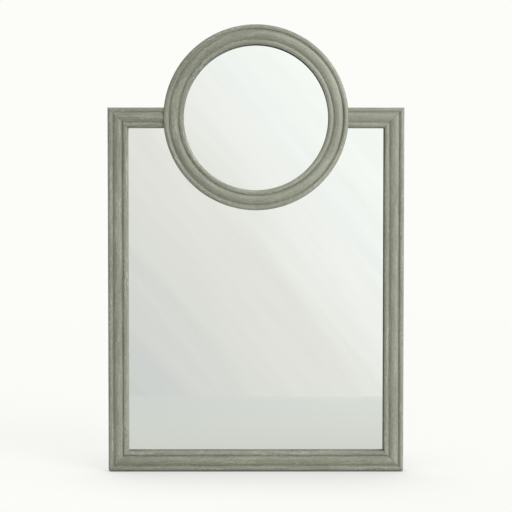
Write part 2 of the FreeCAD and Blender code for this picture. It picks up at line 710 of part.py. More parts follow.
def make_panes():
    """The large pane, bitten by the ring, and the round pane."""
    large = make_slab("rect_mirror_glass", FRAME_DATUM, GLASS_BACK, "glass_thick",
                      outline=inset_rectangle(GLASS_INSET))
    ring_bite(large, "rect_mirror_glass_bite", BITE_RADIUS)
    small = make_slab("round_mirror_glass", RING_DATUM, f"( {GLASS_BACK} + ring_proud )",
                      "glass_thick", radius=ROUND_GLASS_RADIUS)
    return [large, small]


def outer_screw_spots():
    """The large board's screws in the ring, seen from the ring datum."""
    spots = []
    for direction in (DOWN_ANGLE - HALF_SEGMENT, DOWN_ANGLE + HALF_SEGMENT):
        for turn in (-OUTER_SCREW_ANGLE, OUTER_SCREW_ANGLE):
            angle = direction + turn
            spots.append((f"( {OUTER_SCREW_RADIUS} * cos( {angle} ) )",
                          f"( {OUTER_SCREW_RADIUS} * sin( {angle} ) )"))
    return spots


def round_screw_spots():
    """The round board's screws, one in each segment, seen from the ring datum."""
    return [(f"( {ROUND_SCREW_RADIUS} * cos( {index * SEGMENT_ANGLE} ) )",
             f"( {ROUND_SCREW_RADIUS} * sin( {index * SEGMENT_ANGLE} ) )")
            for index in range(SEGMENTS)]


def rect_screw_spots():
    """All screws of the large board, seen from the frame datum."""
    spots = stile_board_screws(-1) + stile_board_screws(1) + bottom_board_screws()
    spots += top_board_screws(-1) + top_board_screws(1)
    spots += [(x, f"( {RING_RISE} + {z} )") for x, z in outer_screw_spots()]
    return spots


def make_boards():
    """The two backing boards, let in behind the glass."""
    holes = "( screw_radius + hole_play )"
    large = make_slab("rect_backing_board", FRAME_DATUM, "board_recess", "board_thick",
                      outline=inset_rectangle(f"( {WEB} + board_play )"))
    ring_bite(large, "rect_backing_board_bite", f"( {OUTER_LEDGE} + board_play )")
    drill(large, "rect_backing_board_holes", rect_screw_spots(), holes, "board_thick", "board_recess")
    level = "( board_recess + ring_proud )"
    small = make_slab("round_backing_board", RING_DATUM, level, "board_thick",
                      radius=f"( {ROUND_LEDGE} - board_play )")
    drill(small, "round_backing_board_holes", round_screw_spots(), holes, "board_thick", level)
    return [large, small]


def level_box(name, datum, x, z, level, wide, tall, thick):
    """A box from a corner (x, z) and a level, seen from a datum."""
    box = doc.addObject("Part::Box", name)
    bind(box, "Length", wide)
    bind(box, "Width", thick)
    bind(box, "Height", tall)
    place(box, shifted(datum, x, f"( {level} + {thick} )", z))
    return box


def arc_strip(name, datum, inner, outer, level, thick, start, sweep):
    """A flat strip along an arc, from a start angle over a sweep in degrees."""
    cylinders = []
    for part, radius in (("outer", outer), ("inner", inner)):
        cylinder = doc.addObject("Part::Cylinder", f"{name}_{part}")
        bind(cylinder, "Radius", radius)
        bind(cylinder, "Height", thick)
        cylinder.Angle = sweep
        place(cylinder, shifted(datum, level=level))
        upright = FreeCAD.Rotation(FreeCAD.Vector(1, 0, 0), 90)
        cylinder.Placement.Rotation = upright.multiply(FreeCAD.Rotation(FreeCAD.Vector(0, 0, 1), start))
        cylinders.append(cylinder)
    strip = doc.addObject("Part::Cut", name)
    strip.Base, strip.Tool = cylinders
    return strip


def make_foam():
    """Foam tape between glass and board: straight strips and an arc on the large pane,
    a full ring on the round one."""
    near = f"( {GLASS_INSET} + foam_inset )"
    far = f"( {near} + foam_wide )"
    tall = f"( frame_tall - 2 * {near} )"
    inner_wide = f"( frame_wide - 2 * {far} )"
    strips = []
    for side, word in ((-1, "left"), (1, "right")):
        x = f"( {near} - {HALF_WIDE} )" if side < 0 else f"( {HALF_WIDE} - {far} )"
        strips.append(level_box(f"foam_{word}", FRAME_DATUM, x, near, BOARD_FRONT,
                                "foam_wide", tall, "foam_thick"))
        reach = f"( {HALF_WIDE} - {far} - ( ring_radius + foam_inset ) )"
        x = f"( {far} - {HALF_WIDE} )" if side < 0 else f"( {HALF_WIDE} - {far} - {reach} )"
        strips.append(level_box(f"foam_top_{word}", FRAME_DATUM, x, f"( frame_tall - {far} )",
                                BOARD_FRONT, reach, "foam_wide", "foam_thick"))
    strips.append(level_box("foam_bottom", FRAME_DATUM, f"( {far} - {HALF_WIDE} )", near,
                            BOARD_FRONT, inner_wide, "foam_wide", "foam_thick"))
    bite = f"( {BITE_RADIUS} + foam_inset )"
    strips.append(arc_strip("foam_bite", RING_DATUM, bite, f"( {bite} + foam_wide )", BOARD_FRONT,
                            "foam_thick", DOWN_ANGLE - FOAM_HALF_SWEEP, 2 * FOAM_HALF_SWEEP))
    outer = f"( {ROUND_GLASS_RADIUS} - foam_inset )"
    full = arc_strip("round_foam_tape", RING_DATUM, f"( {outer} - foam_wide )", outer,
                     f"( {BOARD_FRONT} + ring_proud )", "foam_thick", 0, 360)
    full.Label = "round_foam_tape"
    return [group("rect_foam_tape", strips), full]


def make_setting_blocks():
    """Small blocks that carry the weight of each pane in its rabbet."""
    blocks = []
    for side, word in ((-1, "left"), (1, "right")):
        x = f"( {side} * block_span - block_long / 2 )"
        blocks.append(level_box(f"block_{word}", FRAME_DATUM, x, LIP_START, GLASS_BACK,
                                "block_long", "glass_play", "glass_thick"))
    rounds = [arc_strip(f"round_block_{index}", RING_DATUM, ROUND_GLASS_RADIUS, ROUND_RABBET,
                        f"( {GLASS_BACK} + ring_proud )", "glass_thick",
                        angle - ROUND_BLOCK_SWEEP / 2, ROUND_BLOCK_SWEEP)
              for index, angle in enumerate(ROUND_BLOCK_ANGLES, start=1)]
    return [group("rect_setting_blocks", blocks), group("round_setting_blocks", rounds)]


def make_braces():
    """An L-shaped steel brace behind each corner."""
    near = "plate_margin"
    inner = "( plate_margin + plate_wide )"
    end = "( plate_margin + brace_long )"
    outline = [(near, near), (end, near), (end, inner), (inner, inner), (inner, end), (near, end)]
    braces = []
    for side, upper, word in ((-1, False, "lower_left"), (1, False, "lower_right"),
                              (1, True, "upper_right"), (-1, True, "upper_left")):
        holes = brace_holes(side, upper, True) + brace_holes(side, upper, False)
        braces.append(make_plate(f"corner_brace_{word}", FRAME_DATUM,
                                 [corner_spot(side, upper, *spot) for spot in outline], holes))
    return braces


def make_joint_plates():
    """A straight steel plate behind each joint of rail and ring."""
    plates = []
    for side, word in ((-1, "left"), (1, "right")):
        low = f"( {JOINT_PLATE_RISE} - plate_wide / 2 )"
        high = f"( {JOINT_PLATE_RISE} + plate_wide / 2 )"
        near = f"( {side} * ( ring_radius - joint_plate_long / 2 ) )"
        far = f"( {side} * ( ring_radius + joint_plate_long / 2 ) )"
        plates.append(make_plate(f"joint_plate_{word}", RING_DATUM,
                                 [(near, low), (far, low), (far, high), (near, high)],
                                 joint_plate_holes(side)))
    return plates


KNUCKLE_BORE = "( wire_radius + wire_play )"
KNUCKLE_RADIUS = f"( {KNUCKLE_BORE} + strap_thick )"
RING_HALF = "( strap_wide / 2 + arm_play + wire_radius )"


def make_hanger(side, word):
    """A hanger strap with a rolled knuckle, and the ring of bent wire that swings in it."""
    hinge = shifted(FRAME_DATUM, f"( {side} * ( {HALF_WIDE} - {STRAP_SIDE} ) )", "0", HINGE_HEIGHT)
    strap = new_body(f"hanger_strap_{word}", hinge)
    half = "( strap_wide / 2 )"
    side_view = new_sketch(strap, f"strap_{word}_side", "YZ_Plane")
    draw_outline(side_view, [
        ("0", "( 0 - strap_long )"),
        ("0", "0", KNUCKLE_RADIUS, f"( 2 * {KNUCKLE_RADIUS} )", "0"),
        ("strap_thick", f"( 0 - sqrt( 2 * {KNUCKLE_RADIUS} * strap_thick - strap_thick ^ 2 ) )"),
        ("strap_thick", "( 0 - strap_long )"),
    ])
    pad(strap, side_view, "strap_wide", both_ways=True)
    bore = new_sketch(strap, f"strap_{word}_bore", "YZ_Plane")
    draw_circle(bore, KNUCKLE_RADIUS, "0", KNUCKLE_BORE)
    pocket(strap, bore, "( strap_wide + cut_over )", both_ways=True)
    # the foot is rounded by cutting away what lies outside a half circle
    foot = f"( {half} - strap_long )"
    beyond = f"( {half} + cut_over )"
    below = "( 0 - strap_long - cut_over )"
    rounding = new_sketch(strap, f"strap_{word}_foot", "XZ_Plane")
    bow = f"( {half} * cos( 45 ) )"
    draw_outline(rounding, [
        (f"( 0 - {half} )", foot, half, f"( 0 - {bow} )", f"( {foot} - {bow} )"),
        ("0", "( 0 - strap_long )", half, bow, f"( {foot} - {bow} )"),
        (half, foot),
        (beyond, foot),
        (beyond, below),
        (f"( 0 - {beyond} )", below),
        (f"( 0 - {beyond} )", foot),
    ])
    pocket(strap, rounding)
    holes = new_sketch(strap, f"strap_{word}_holes", "XZ_Plane")
    for hole in STRAP_HOLES:
        draw_circle(holes, "0", hole, "( screw_radius + hole_play )")
    pocket(strap, holes, "strap_thick")

    # the wire runs straight through the knuckle, round two small bends, down two arms
    # and back through a half circle
    axis = shifted(hinge, "0", f"( 0 - {KNUCKLE_RADIUS} )", "0")
    wire = new_body(f"hanger_ring_{word}", axis)
    straight = f"( {RING_HALF} - wire_bend )"
    diagonal = "( wire_bend * cos( 45 ) )"
    bend_x = f"( {straight} + {diagonal} )"
    bend_z = f"( {diagonal} - wire_bend )"
    bow = f"( {RING_HALF} * cos( 45 ) )"
    spine = new_sketch(wire, f"ring_{word}_line", "XZ_Plane")
    draw_outline(spine, [
        ("0", "0"),
        (straight, "0", "wire_bend", bend_x, bend_z),
        (RING_HALF, "( 0 - wire_bend )"),
        (RING_HALF, "( 0 - arm_long )", RING_HALF, bow, f"( 0 - arm_long - {bow} )"),
        ("0", f"( 0 - arm_long - {RING_HALF} )", RING_HALF, f"( 0 - {bow} )",
         f"( 0 - arm_long - {bow} )"),
        (f"( 0 - {RING_HALF} )", "( 0 - arm_long )"),
        (f"( 0 - {RING_HALF} )", "( 0 - wire_bend )", "wire_bend", f"( 0 - {bend_x} )", bend_z),
        (f"( 0 - {straight} )", "0"),
    ])
    section = new_sketch(wire, f"ring_{word}_wire", "YZ_Plane")
    draw_circle(section, "0", "0", "wire_radius")
    doc.recompute()
    pipe = wire.newObject("PartDesign::AdditivePipe", f"ring_{word}_pipe")
    pipe.Profile = section
    pipe.Spine = (spine, [])
    return [strap, wire]


def make_screw(name, length):
    """A pan head wood screw with its seat at the origin, driven towards -Y."""
    body = doc.addObject("PartDesign::Body", name)
    sketch = new_sketch(body, f"{name}_half", "XY_Plane")
    draw_outline(sketch, [
        ("0", "head_tall"),
        ("head_crown", "head_tall"),
        ("head_radius", "0"),
        ("screw_radius", "0"),
        ("screw_radius", f"( tip_long - {length} )"),
        ("0", f"( 0 - {length} )"),
    ])
    turned(body, sketch, 360)
    return body


def screw_group(name, screw, places):
    """One node of equal screws: a link to the same screw at each place."""
    links = []
    for index, spot in enumerate(places, start=1):
        link = doc.addObject("App::Link", f"{name}_{index}")
        link.LinkedObject = screw
        for axis, text in zip("xyz", spot):
            bind(link, f"Placement.Base.{axis}", text)
        links.append(link)
    return group(name, links)


def make_screws():
    """All the screws on the back, one node for each use."""
    board = make_screw("board_screw", "board_screw_long")
    plate = make_screw("plate_screw", "plate_screw_long")
    hanger = make_screw("hanger_screw", "hanger_screw_long")
    rect_places = [shifted(FRAME_DATUM, x, "board_recess", z) for x, z in rect_screw_spots()]
    round_places = [shifted(RING_DATUM, x, "( board_recess + ring_proud )", z)
                    for x, z in round_screw_spots()]
    brace_places = []
    for side, upper in ((-1, False), (1, False), (1, True), (-1, True)):
        for x, z in brace_holes(side, upper, True) + brace_holes(side, upper, False):
            brace_places.append(shifted(FRAME_DATUM, x, "( 0 - plate_thick )", z))
    joint_places = [shifted(RING_DATUM, x, "( 0 - plate_thick )", z)
                    for side in (-1, 1) for x, z in joint_plate_holes(side)]
    hanger_places = [
        shifted(FRAME_DATUM, f"( {side} * ( {HALF_WIDE} - {STRAP_SIDE} ) )", "( 0 - strap_thick )",
                f"( {HINGE_HEIGHT} + {hole} )")
        for side in (-1, 1) for hole in STRAP_HOLES]
    return [
        screw_group("rect_board_screws", board, rect_places),
        screw_group("round_board_screws", board, round_places),
        screw_group("corner_brace_screws", plate, brace_places),
        screw_group("joint_plate_screws", plate, joint_places),
        screw_group("hanger_screws", hanger, hanger_places),
    ]


def disc(name, radius, tall, spot, turn=0, about=(0, 1, 0)):
    """A flat round pad."""
    pad_disc = doc.addObject("Part::Cylinder", name)
    bind(pad_disc, "Radius", radius)
    bind(pad_disc, "Height", tall)
    place(pad_disc, spot, turn, about)
    return pad_disc


def make_pads():
    """Glides under the bottom rail and bumpers on the back of the stiles."""
    glides = []
    bumpers = []
    for side, word in ((-1, "left"), (1, "right")):
        for index in range(2):
            x = f"( {side} * ( {HALF_WIDE} - glide_inset - {index} * glide_step ) )"
            spot = shifted(FRAME_DATUM, x, "( bead_spring / 2 )", "( 0 - glide_tall )")
            glides.append(disc(f"glide_{word}_{index + 1}", "glide_radius", "glide_tall", spot))
        for upper, end in ((False, "low"), (True, "high")):
            x, z = corner_spot(side, upper, STRAP_SIDE, "bumper_inset")
            spot = shifted(FRAME_DATUM, x, "0", z)
            bumpers.append(disc(f"bumper_{word}_{end}", "bumper_radius", "bumper_tall", spot,
                                -90, (1, 0, 0)))
    return [group("floor_glides", glides), group("wall_bumpers", bumpers)]


pieces = [
    make_stile("left_stile", -1),
    make_stile("right_stile", 1),
    make_bottom_rail(),
    make_top_rail("top_rail_left", -1),
    make_top_rail("top_rail_right", 1),
]
pieces += [make_ring_segment(index) for index in range(SEGMENTS)]
pieces += make_splines()
pieces.append(make_dowels())
pieces += make_panes()
pieces += make_foam()
pieces += make_setting_blocks()
pieces += make_boards()
pieces += make_braces()
pieces += make_joint_plates()
for side, word in ((-1, "left"), (1, "right")):
    pieces += make_hanger(side, word)
pieces += make_screws()
pieces += make_pads()
doc.recompute()

# Nothing is written before every object and every shape is sound.
for thing in doc.Objects:
    if "Invalid" in thing.State or "Error" in thing.State:
        raise RuntimeError(f"{thing.Name} failed: {thing.State}")
for piece in pieces:
    if piece.Shape.isNull() or not piece.Shape.isValid() or not piece.Shape.Solids:
        raise RuntimeError(f"{piece.Label} has no sound shape")

os.makedirs("parts", exist_ok=True)
for piece in pieces:
    piece.Shape.exportStep(f"parts/{piece.Label}.step")
    print(piece.Label, len(piece.Shape.Solids), "solid(s)", round(piece.Shape.Volume), "mm3")
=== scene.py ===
# %% [markdown]
# # A ring-top mirror in painted wood
#
# This lesson dresses a tall mirror. Its straight moulding and its round frame are painted
# grey-green, and each of them holds a pane of silvered glass. The construction comes as a
# fixed frame of real-size pieces, so every new piece takes its place and size from it.

# %% Load the frame
import math
import random

import bmesh
import bpy
from mathutils import Matrix, Vector


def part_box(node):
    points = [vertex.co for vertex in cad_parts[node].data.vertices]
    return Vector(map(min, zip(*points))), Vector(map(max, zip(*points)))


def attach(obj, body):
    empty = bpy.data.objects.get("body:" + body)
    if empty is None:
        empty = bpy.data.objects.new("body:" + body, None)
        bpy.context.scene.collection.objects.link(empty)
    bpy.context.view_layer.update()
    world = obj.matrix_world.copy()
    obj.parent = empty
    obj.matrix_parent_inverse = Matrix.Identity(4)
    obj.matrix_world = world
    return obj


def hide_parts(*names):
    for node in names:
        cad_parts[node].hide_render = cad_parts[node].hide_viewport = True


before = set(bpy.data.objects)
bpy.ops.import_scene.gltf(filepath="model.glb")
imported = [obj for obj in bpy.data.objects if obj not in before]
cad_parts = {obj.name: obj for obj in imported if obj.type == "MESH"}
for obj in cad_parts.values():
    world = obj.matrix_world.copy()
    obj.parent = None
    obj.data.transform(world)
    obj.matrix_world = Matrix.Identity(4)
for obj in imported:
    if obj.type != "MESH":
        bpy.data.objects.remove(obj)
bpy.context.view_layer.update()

MM = 0.001

# %% [markdown]
# ## Camera
#
# The photograph is a product shot: a long lens, a little above the middle of the mirror
# and tipped down by less than two degrees, which makes the top of the frame a trace wider
# than its foot. A long lens keeps the moulding from bulging. The framing needs no lens shift,
# so other views can turn the same camera round the mirror.

# %% Camera
LENS = 85
SENSOR = 36
CAMERA_SPOT = Vector((-0.009, -3.744, 0.780))
CAMERA_YAW = math.radians(-0.14)
CAMERA_PITCH = math.radians(-1.70)
CAMERA_ROLL = math.radians(0.01)


def placed(name, data):
    """A new object in the scene."""
    thing = bpy.data.objects.new(name, data)
    bpy.context.collection.objects.link(thing)
    return thing


camera_data = bpy.data.cameras.new("camera")
camera_data.lens = LENS
camera_data.sensor_width = SENSOR
camera = placed("camera", camera_data)
yawed = Matrix.Rotation(CAMERA_YAW, 4, "Z")
pitched = Matrix.Rotation(math.radians(90) + CAMERA_PITCH, 4, "X")
rolled = Matrix.Rotation(CAMERA_ROLL, 4, "Z")
camera.matrix_world = Matrix.Translation(CAMERA_SPOT) @ yawed @ pitched @ rolled
bpy.context.scene.camera = camera
bpy.context.scene.view_settings.view_transform = "Standard"
print("camera at", tuple(round(x, 3) for x in CAMERA_SPOT))

# %% [markdown]
# ## Colours and nodes
#
# Colours are written as they look on a screen, in sRGB hex, but shaders reckon in linear
# light, so one function turns them. A second function adds any node with its settings and
# links, which keeps each material short enough to read as a recipe.

# %% Helpers for colours and nodes
def linear(code):
    """A colour written as sRGB hex, in linear light. Any other value stays as it is."""
    if not isinstance(code, str):
        return code
    parts = [int(code[start:start + 2], 16) / 255 for start in (1, 3, 5)]
    light = [part / 12.92 if part <= 0.04045 else ((part + 0.055) / 1.055) ** 2.4
             for part in parts]
    return (*light, 1)


def grey(amount):
    """A grey of a given strength in linear light."""
    return (amount, amount, amount, 1)


def add(tree, kind, inputs=None, stops=None, **settings):
    """Adds a node. Each input is a value, a colour in hex, an output, or a node whose first
    output is meant. Stops are the places and colours of a ramp."""
    node = tree.nodes.new(kind)
    for name, value in settings.items():
        setattr(node, name, value)
    sockets = {socket.identifier: socket for socket in node.inputs}
    for name, value in (inputs or {}).items():
        if isinstance(value, bpy.types.Node):
            value = next(socket for socket in value.outputs if socket.enabled)
        if isinstance(value, bpy.types.NodeSocket):
            tree.links.new(value, sockets[name])
        else:
            sockets[name].default_value = linear(value)
    if stops:
        points = node.color_ramp.elements
        points.remove(points[1])
        points[0].position, points[0].color = stops[0][0], linear(stops[0][1])
        for place, colour in stops[1:]:
            points.new(place).color = linear(colour)
    return node


def emptied(owner):
    """The node tree of a world or a material, cleared of its nodes."""
    owner.use_nodes = True
    owner.node_tree.nodes.clear()
    return owner.node_tree


print("hex #808080 in linear light:", [round(part, 3) for part in linear("#808080")])

# %% [markdown]
# ## Studio light
#
# A soft key from the upper right shades the mouldings, and an even sky fills them, at a
# level where a colour renders about as it is written. A sun with a wide disc stands for a
# large softbox: its light is even over the whole floor, and its shadows have soft edges.
# A weak second sun from behind on the left keeps the back readable and puts the faint
# shade in front of the foot.

# %% Suns
def sun(name, azimuth, elevation, strength, disc):
    """A wide sun. Its azimuth runs from the front towards the right, and a strength of 1
    shows white as white where it shines straight on."""
    turn = math.radians(azimuth)
    rise = math.radians(elevation)
    towards = Vector((
        math.sin(turn) * math.cos(rise), -math.cos(turn) * math.cos(rise), math.sin(rise)))
    data = bpy.data.lights.new(name, "SUN")
    data.energy = strength * math.pi
    data.angle = math.radians(disc)
    placed(name, data).rotation_euler = towards.to_track_quat("Z", "Y").to_euler()


sun("key_light", azimuth=50, elevation=33, strength=0.74, disc=30)
sun("back_light", azimuth=200, elevation=48, strength=0.16, disc=50)

# %% [markdown]
# ## What the glass sees
#
# A mirror has hardly any colour of its own: it shows what stands opposite. In the
# photograph that is a pale studio whose light falls off from the upper right to the lower
# left, with faint streaks across it. A model of the room would stand in the way of other
# views. The world is simpler: its colour depends on the direction of the ray, the camera
# sees it as white, and only reflections see the soft slope.

# %% World: the slope of light
# the slope runs over (lean * x + z) / y of a ray's direction, from the lower left to the
# upper right
SLOPE_LEAN = 1.28
SLOPE_LOW = -0.27
SLOPE_HIGH = 0.21
SLOPE_STOPS = [(0.0, "#d3d7d5"), (0.12, "#d8dbd8"), (0.30, "#e2e4df"), (0.50, "#e9eae6"),
               (0.59, "#eff1ed"), (0.68, "#f4f7f4"), (0.78, "#f6faf8"), (0.88, "#fbfffc")]
# broad veils bend the slope, and finer gleams put light and dark streaks on it, each with
# a scale down the slope and one upwards
VEILS = (34, 5, 1)
VEIL_DEPTH = 0.19
GLEAMS = (50, 11, 1)
GLEAM_DEPTH = 0.05

world = bpy.data.worlds.new("studio")
bpy.context.scene.world = world
sky = emptied(world)
ray = add(sky, "ShaderNodeTexCoord").outputs["Generated"]
aim = add(sky, "ShaderNodeSeparateXYZ", {"Vector": ray}).outputs
ahead = add(sky, "ShaderNodeMath", {"Value": aim["Y"]}, operation="ABSOLUTE")
leaning = add(sky, "ShaderNodeMath", {
    "Value": aim["X"], "Value_001": SLOPE_LEAN, "Value_002": aim["Z"]},
    operation="MULTIPLY_ADD")
slope = add(sky, "ShaderNodeMath", {"Value": leaning, "Value_001": ahead}, operation="DIVIDE")
lift = add(sky, "ShaderNodeMath", {"Value": aim["Z"], "Value_001": ahead}, operation="DIVIDE")
along = add(sky, "ShaderNodeCombineXYZ", {"X": slope, "Y": lift})


def streaks(scale, low, high):
    """Noise drawn out along the slope, between two values."""
    drawn_out = add(sky, "ShaderNodeMapping", {"Vector": along, "Scale": scale})
    noise = add(sky, "ShaderNodeTexNoise", {"Vector": drawn_out, "Scale": 1.0, "Detail": 2.0})
    return add(sky, "ShaderNodeMapRange", {"Value": noise, "To Min": low, "To Max": high})


share = add(sky, "ShaderNodeMapRange", {
    "Value": slope, "From Min": SLOPE_LOW, "From Max": SLOPE_HIGH})
veil = streaks(VEILS, -VEIL_DEPTH / 2, VEIL_DEPTH / 2)
veiled = add(sky, "ShaderNodeMath", {"Value": share, "Value_001": veil}, operation="ADD")
sloped = add(sky, "ShaderNodeValToRGB", {"Fac": veiled}, stops=SLOPE_STOPS)
gleam = streaks(GLEAMS, 1 - GLEAM_DEPTH, 1 + GLEAM_DEPTH)
studio = add(sky, "ShaderNodeMix", {
    "Factor_Float": 1.0, "A_Color": sloped, "B_Color": gleam},
    data_type="RGBA", blend_type="MULTIPLY")
print("nodes of the slope:", len(sky.nodes))

# %% World: what each ray sees
SKY_LIGHT = 0.50
WHITE = "#fcfcf9"


def looks(tree):
    """Whether a ray comes straight from the camera, and whether it comes off a mirror."""
    path = add(tree, "ShaderNodeLightPath").outputs
    direct = add(tree, "ShaderNodeMath", {
        "Value": path["Is Camera Ray"], "Value_001": path["Is Transmission Ray"]},
        operation="MAXIMUM")
    return direct, path["Is Glossy Ray"]


direct, mirrored = looks(sky)
plain = add(sky, "ShaderNodeMix", {
    "Factor_Float": direct, "A_Color": grey(SKY_LIGHT), "B_Color": WHITE}, data_type="RGBA")
shown = add(sky, "ShaderNodeMix", {
    "Factor_Float": mirrored, "A_Color": plain, "B_Color": studio}, data_type="RGBA")
background = add(sky, "ShaderNodeBackground", {"Color": shown})
add(sky, "ShaderNodeOutputWorld", {"Surface": background})
print("world nodes:", len(sky.nodes))

# %% [markdown]
# ## Floor
#
# The floor is a matt white sheet. A bright studio washes shadows out, so to the camera
# most of it is plain white, with only a share of true shadow. Right at the foot the light
# can't get in, and an ambient occlusion node darkens that white there. Far out the floor
# fades into the white world. In the glass it shows as a slightly darker strip near the
# mirror, whose far line melts into the studio at the left, and beyond that the glass
# looks past it.

# %% Floor sheet
FLOOR_HALF = 9.0


def mesh_of(name, bm):
    """Turns a bmesh into a mesh."""
    mesh = bpy.data.meshes.new(name)
    bm.to_mesh(mesh)
    bm.free()
    return mesh


bm = bmesh.new()
bmesh.ops.create_grid(bm, x_segments=1, y_segments=1, size=FLOOR_HALF)
floor = placed("floor", mesh_of("floor", bm))
print("floor:", floor.dimensions[:2])

# %% Floor to the camera
FLOOR_PAPER = "#f1f1ee"
FLOOR_WHITE_SHARE = 0.88
FADE_START = 3.0
FADE_END = 8.0
CONTACT_REACH = 0.45
# how much light the white keeps, at each share of open sky
CONTACT_STOPS = [(0.0, grey(0.05)), (0.25, grey(0.35)), (0.5, grey(0.75)), (0.75, grey(0.88)),
                 (0.95, grey(0.985)), (1.0, grey(1.0))]


def new_material(name):
    """A new material and its empty node tree."""
    made = bpy.data.materials.new(name)
    return made, emptied(made)


paper, sheet = new_material("white_paper")
spot = add(sheet, "ShaderNodeTexCoord").outputs["Object"]
away = add(sheet, "ShaderNodeVectorMath", {"Vector": spot}, operation="LENGTH")
fade = add(sheet, "ShaderNodeMapRange", {
    "Value": away.outputs["Value"], "From Min": FADE_START, "From Max": FADE_END},
    interpolation_type="SMOOTHSTEP")
lit = add(sheet, "ShaderNodeBsdfDiffuse", {"Color": FLOOR_PAPER})
open_sky = add(sheet, "ShaderNodeAmbientOcclusion", {"Distance": CONTACT_REACH})
contact = add(
    sheet, "ShaderNodeValToRGB", {"Fac": open_sky.outputs["AO"]}, stops=CONTACT_STOPS)
shaded = add(sheet, "ShaderNodeMix", {
    "Factor_Float": 1.0, "A_Color": WHITE, "B_Color": contact},
    data_type="RGBA", blend_type="MULTIPLY")
blank = add(sheet, "ShaderNodeEmission", {"Color": shaded})
clear = add(sheet, "ShaderNodeBsdfTransparent")
looked_at = add(sheet, "ShaderNodeMixShader", {
    "Fac": FLOOR_WHITE_SHARE, "Shader": lit, "Shader_001": blank})
far_out = add(sheet, "ShaderNodeMixShader", {
    "Fac": fade, "Shader": looked_at, "Shader_001": clear})
print("floor nodes for the camera:", len(sheet.nodes))

# %% Floor in the glass
# the strip in metres in front of the mirror, which glows to reflections: its tone is painted
# shade, darker near the mirror and on the left, and changes from a near line to a far edge,
# where it ends over a soft stretch, and from a turn on the left to one on the right
STRIP_NEAR = -0.356
STRIP_EDGE = -1.545
STRIP_SOFT = 0.05
STRIP_TURN = 0.42
STRIP_LEFT = [(0.0, "#d6dad7"), (0.6, "#d6dad5"), (1.0, "#d3d7d2")]
STRIP_RIGHT = [(0.0, "#dfe4df"), (0.6, "#dbdfda"), (1.0, "#d6d9d4")]

where = add(sheet, "ShaderNodeSeparateXYZ", {"Vector": spot}).outputs
nearness = add(sheet, "ShaderNodeMapRange", {
    "Value": where["Y"], "From Min": STRIP_EDGE, "From Max": STRIP_NEAR})
at_left = add(sheet, "ShaderNodeValToRGB", {"Fac": nearness}, stops=STRIP_LEFT)
at_right = add(sheet, "ShaderNodeValToRGB", {"Fac": nearness}, stops=STRIP_RIGHT)
to_right = add(sheet, "ShaderNodeMapRange", {
    "Value": where["X"], "From Min": -STRIP_TURN, "From Max": STRIP_TURN})
strip = add(sheet, "ShaderNodeMix", {
    "Factor_Float": to_right, "A_Color": at_left, "B_Color": at_right}, data_type="RGBA")
strip_light = add(sheet, "ShaderNodeEmission", {"Color": strip})
past = add(sheet, "ShaderNodeMapRange", {
    "Value": where["Y"], "From Min": STRIP_EDGE, "From Max": STRIP_EDGE - STRIP_SOFT})
reflected = add(sheet, "ShaderNodeMixShader", {
    "Fac": past, "Shader": strip_light, "Shader_001": clear})

direct, mirrored = looks(sheet)
unmirrored = add(sheet, "ShaderNodeMixShader", {
    "Fac": direct, "Shader": lit, "Shader_001": far_out})
seen = add(sheet, "ShaderNodeMixShader", {
    "Fac": mirrored, "Shader": unmirrored, "Shader_001": reflected})
add(sheet, "ShaderNodeOutputMaterial", {"Surface": seen})
floor.data.materials.append(paper)
print("floor nodes:", len(sheet.nodes))

# %% [markdown]
# ## The painted finish
#
# The wood is beech under a grey-green milk paint, brushed on along each length and rubbed
# back while it was thin. That gives the eye four things: long soft streaks, patches of
# short pale marks where the rag caught, grooves that hold a dark glaze, partly painted
# shade, or a pale fill that is painted light, and a painted shade on the wall at the glass.
# The pattern has to follow the member, also round the ring, so each vertex carries its own
# place in the wood in millimetres: along the length, across the face, and its level above
# the back. Noise that is stretched along the first of them becomes brush strokes. The coat
# is uneven, as a hand leaves it, and its tone also carries painted light, lighter towards
# the key light on the right, so each vertex also carries how strong the coat and its
# painted light and shade are there. The cells below work out where each layer of the
# finish lies, and the last of them lays one over the other.

# %% Brushed coat, with painted light in its tone
def stretched(tree, coordinates, size, detail=2.0, shift=(0, 0, 0)):
    """Noise whose grains have a size in millimetres along each axis of a pattern."""
    mapped = add(tree, "ShaderNodeMapping", {
        "Vector": coordinates, "Location": shift, "Scale": [1 / length for length in size]})
    return add(tree, "ShaderNodeTexNoise", {"Vector": mapped, "Scale": 1.0, "Detail": detail})


# each pattern is the size of its grains, its detail, and a shift that keeps it from lining
# up with the others, and its depth is how far it moves the depth of colour
STREAK = ((75, 4.5, 4.5), 3.0)
SPECK = ((9, 3.0, 3.0), 2.0, (7, 3, 1))
CLOUD = ((190, 90, 90), 2.0, (2, 9, 4))
STREAK_DEPTH = 0.38
SPECK_DEPTH = 0.34
CLOUD_DEPTH = 0.27
MEMBER_TONE_AND_LIGHT_DEPTH = 0.06
COAT_STOPS = [(0.28, "#6e7062"), (0.5, "#8b8d7e"), (0.74, "#a7a99a")]

painted_wood, tree = new_material("milk_paint_on_beech")
place = add(tree, "ShaderNodeAttribute", attribute_name="grain").outputs["Vector"]
member = add(tree, "ShaderNodeAttribute", attribute_name="member").outputs["Vector"]
member_parts = add(tree, "ShaderNodeSeparateXYZ", {"Vector": member}).outputs
streak = stretched(tree, place, *STREAK)
speck = stretched(tree, place, *SPECK)
cloud = stretched(tree, place, *CLOUD)

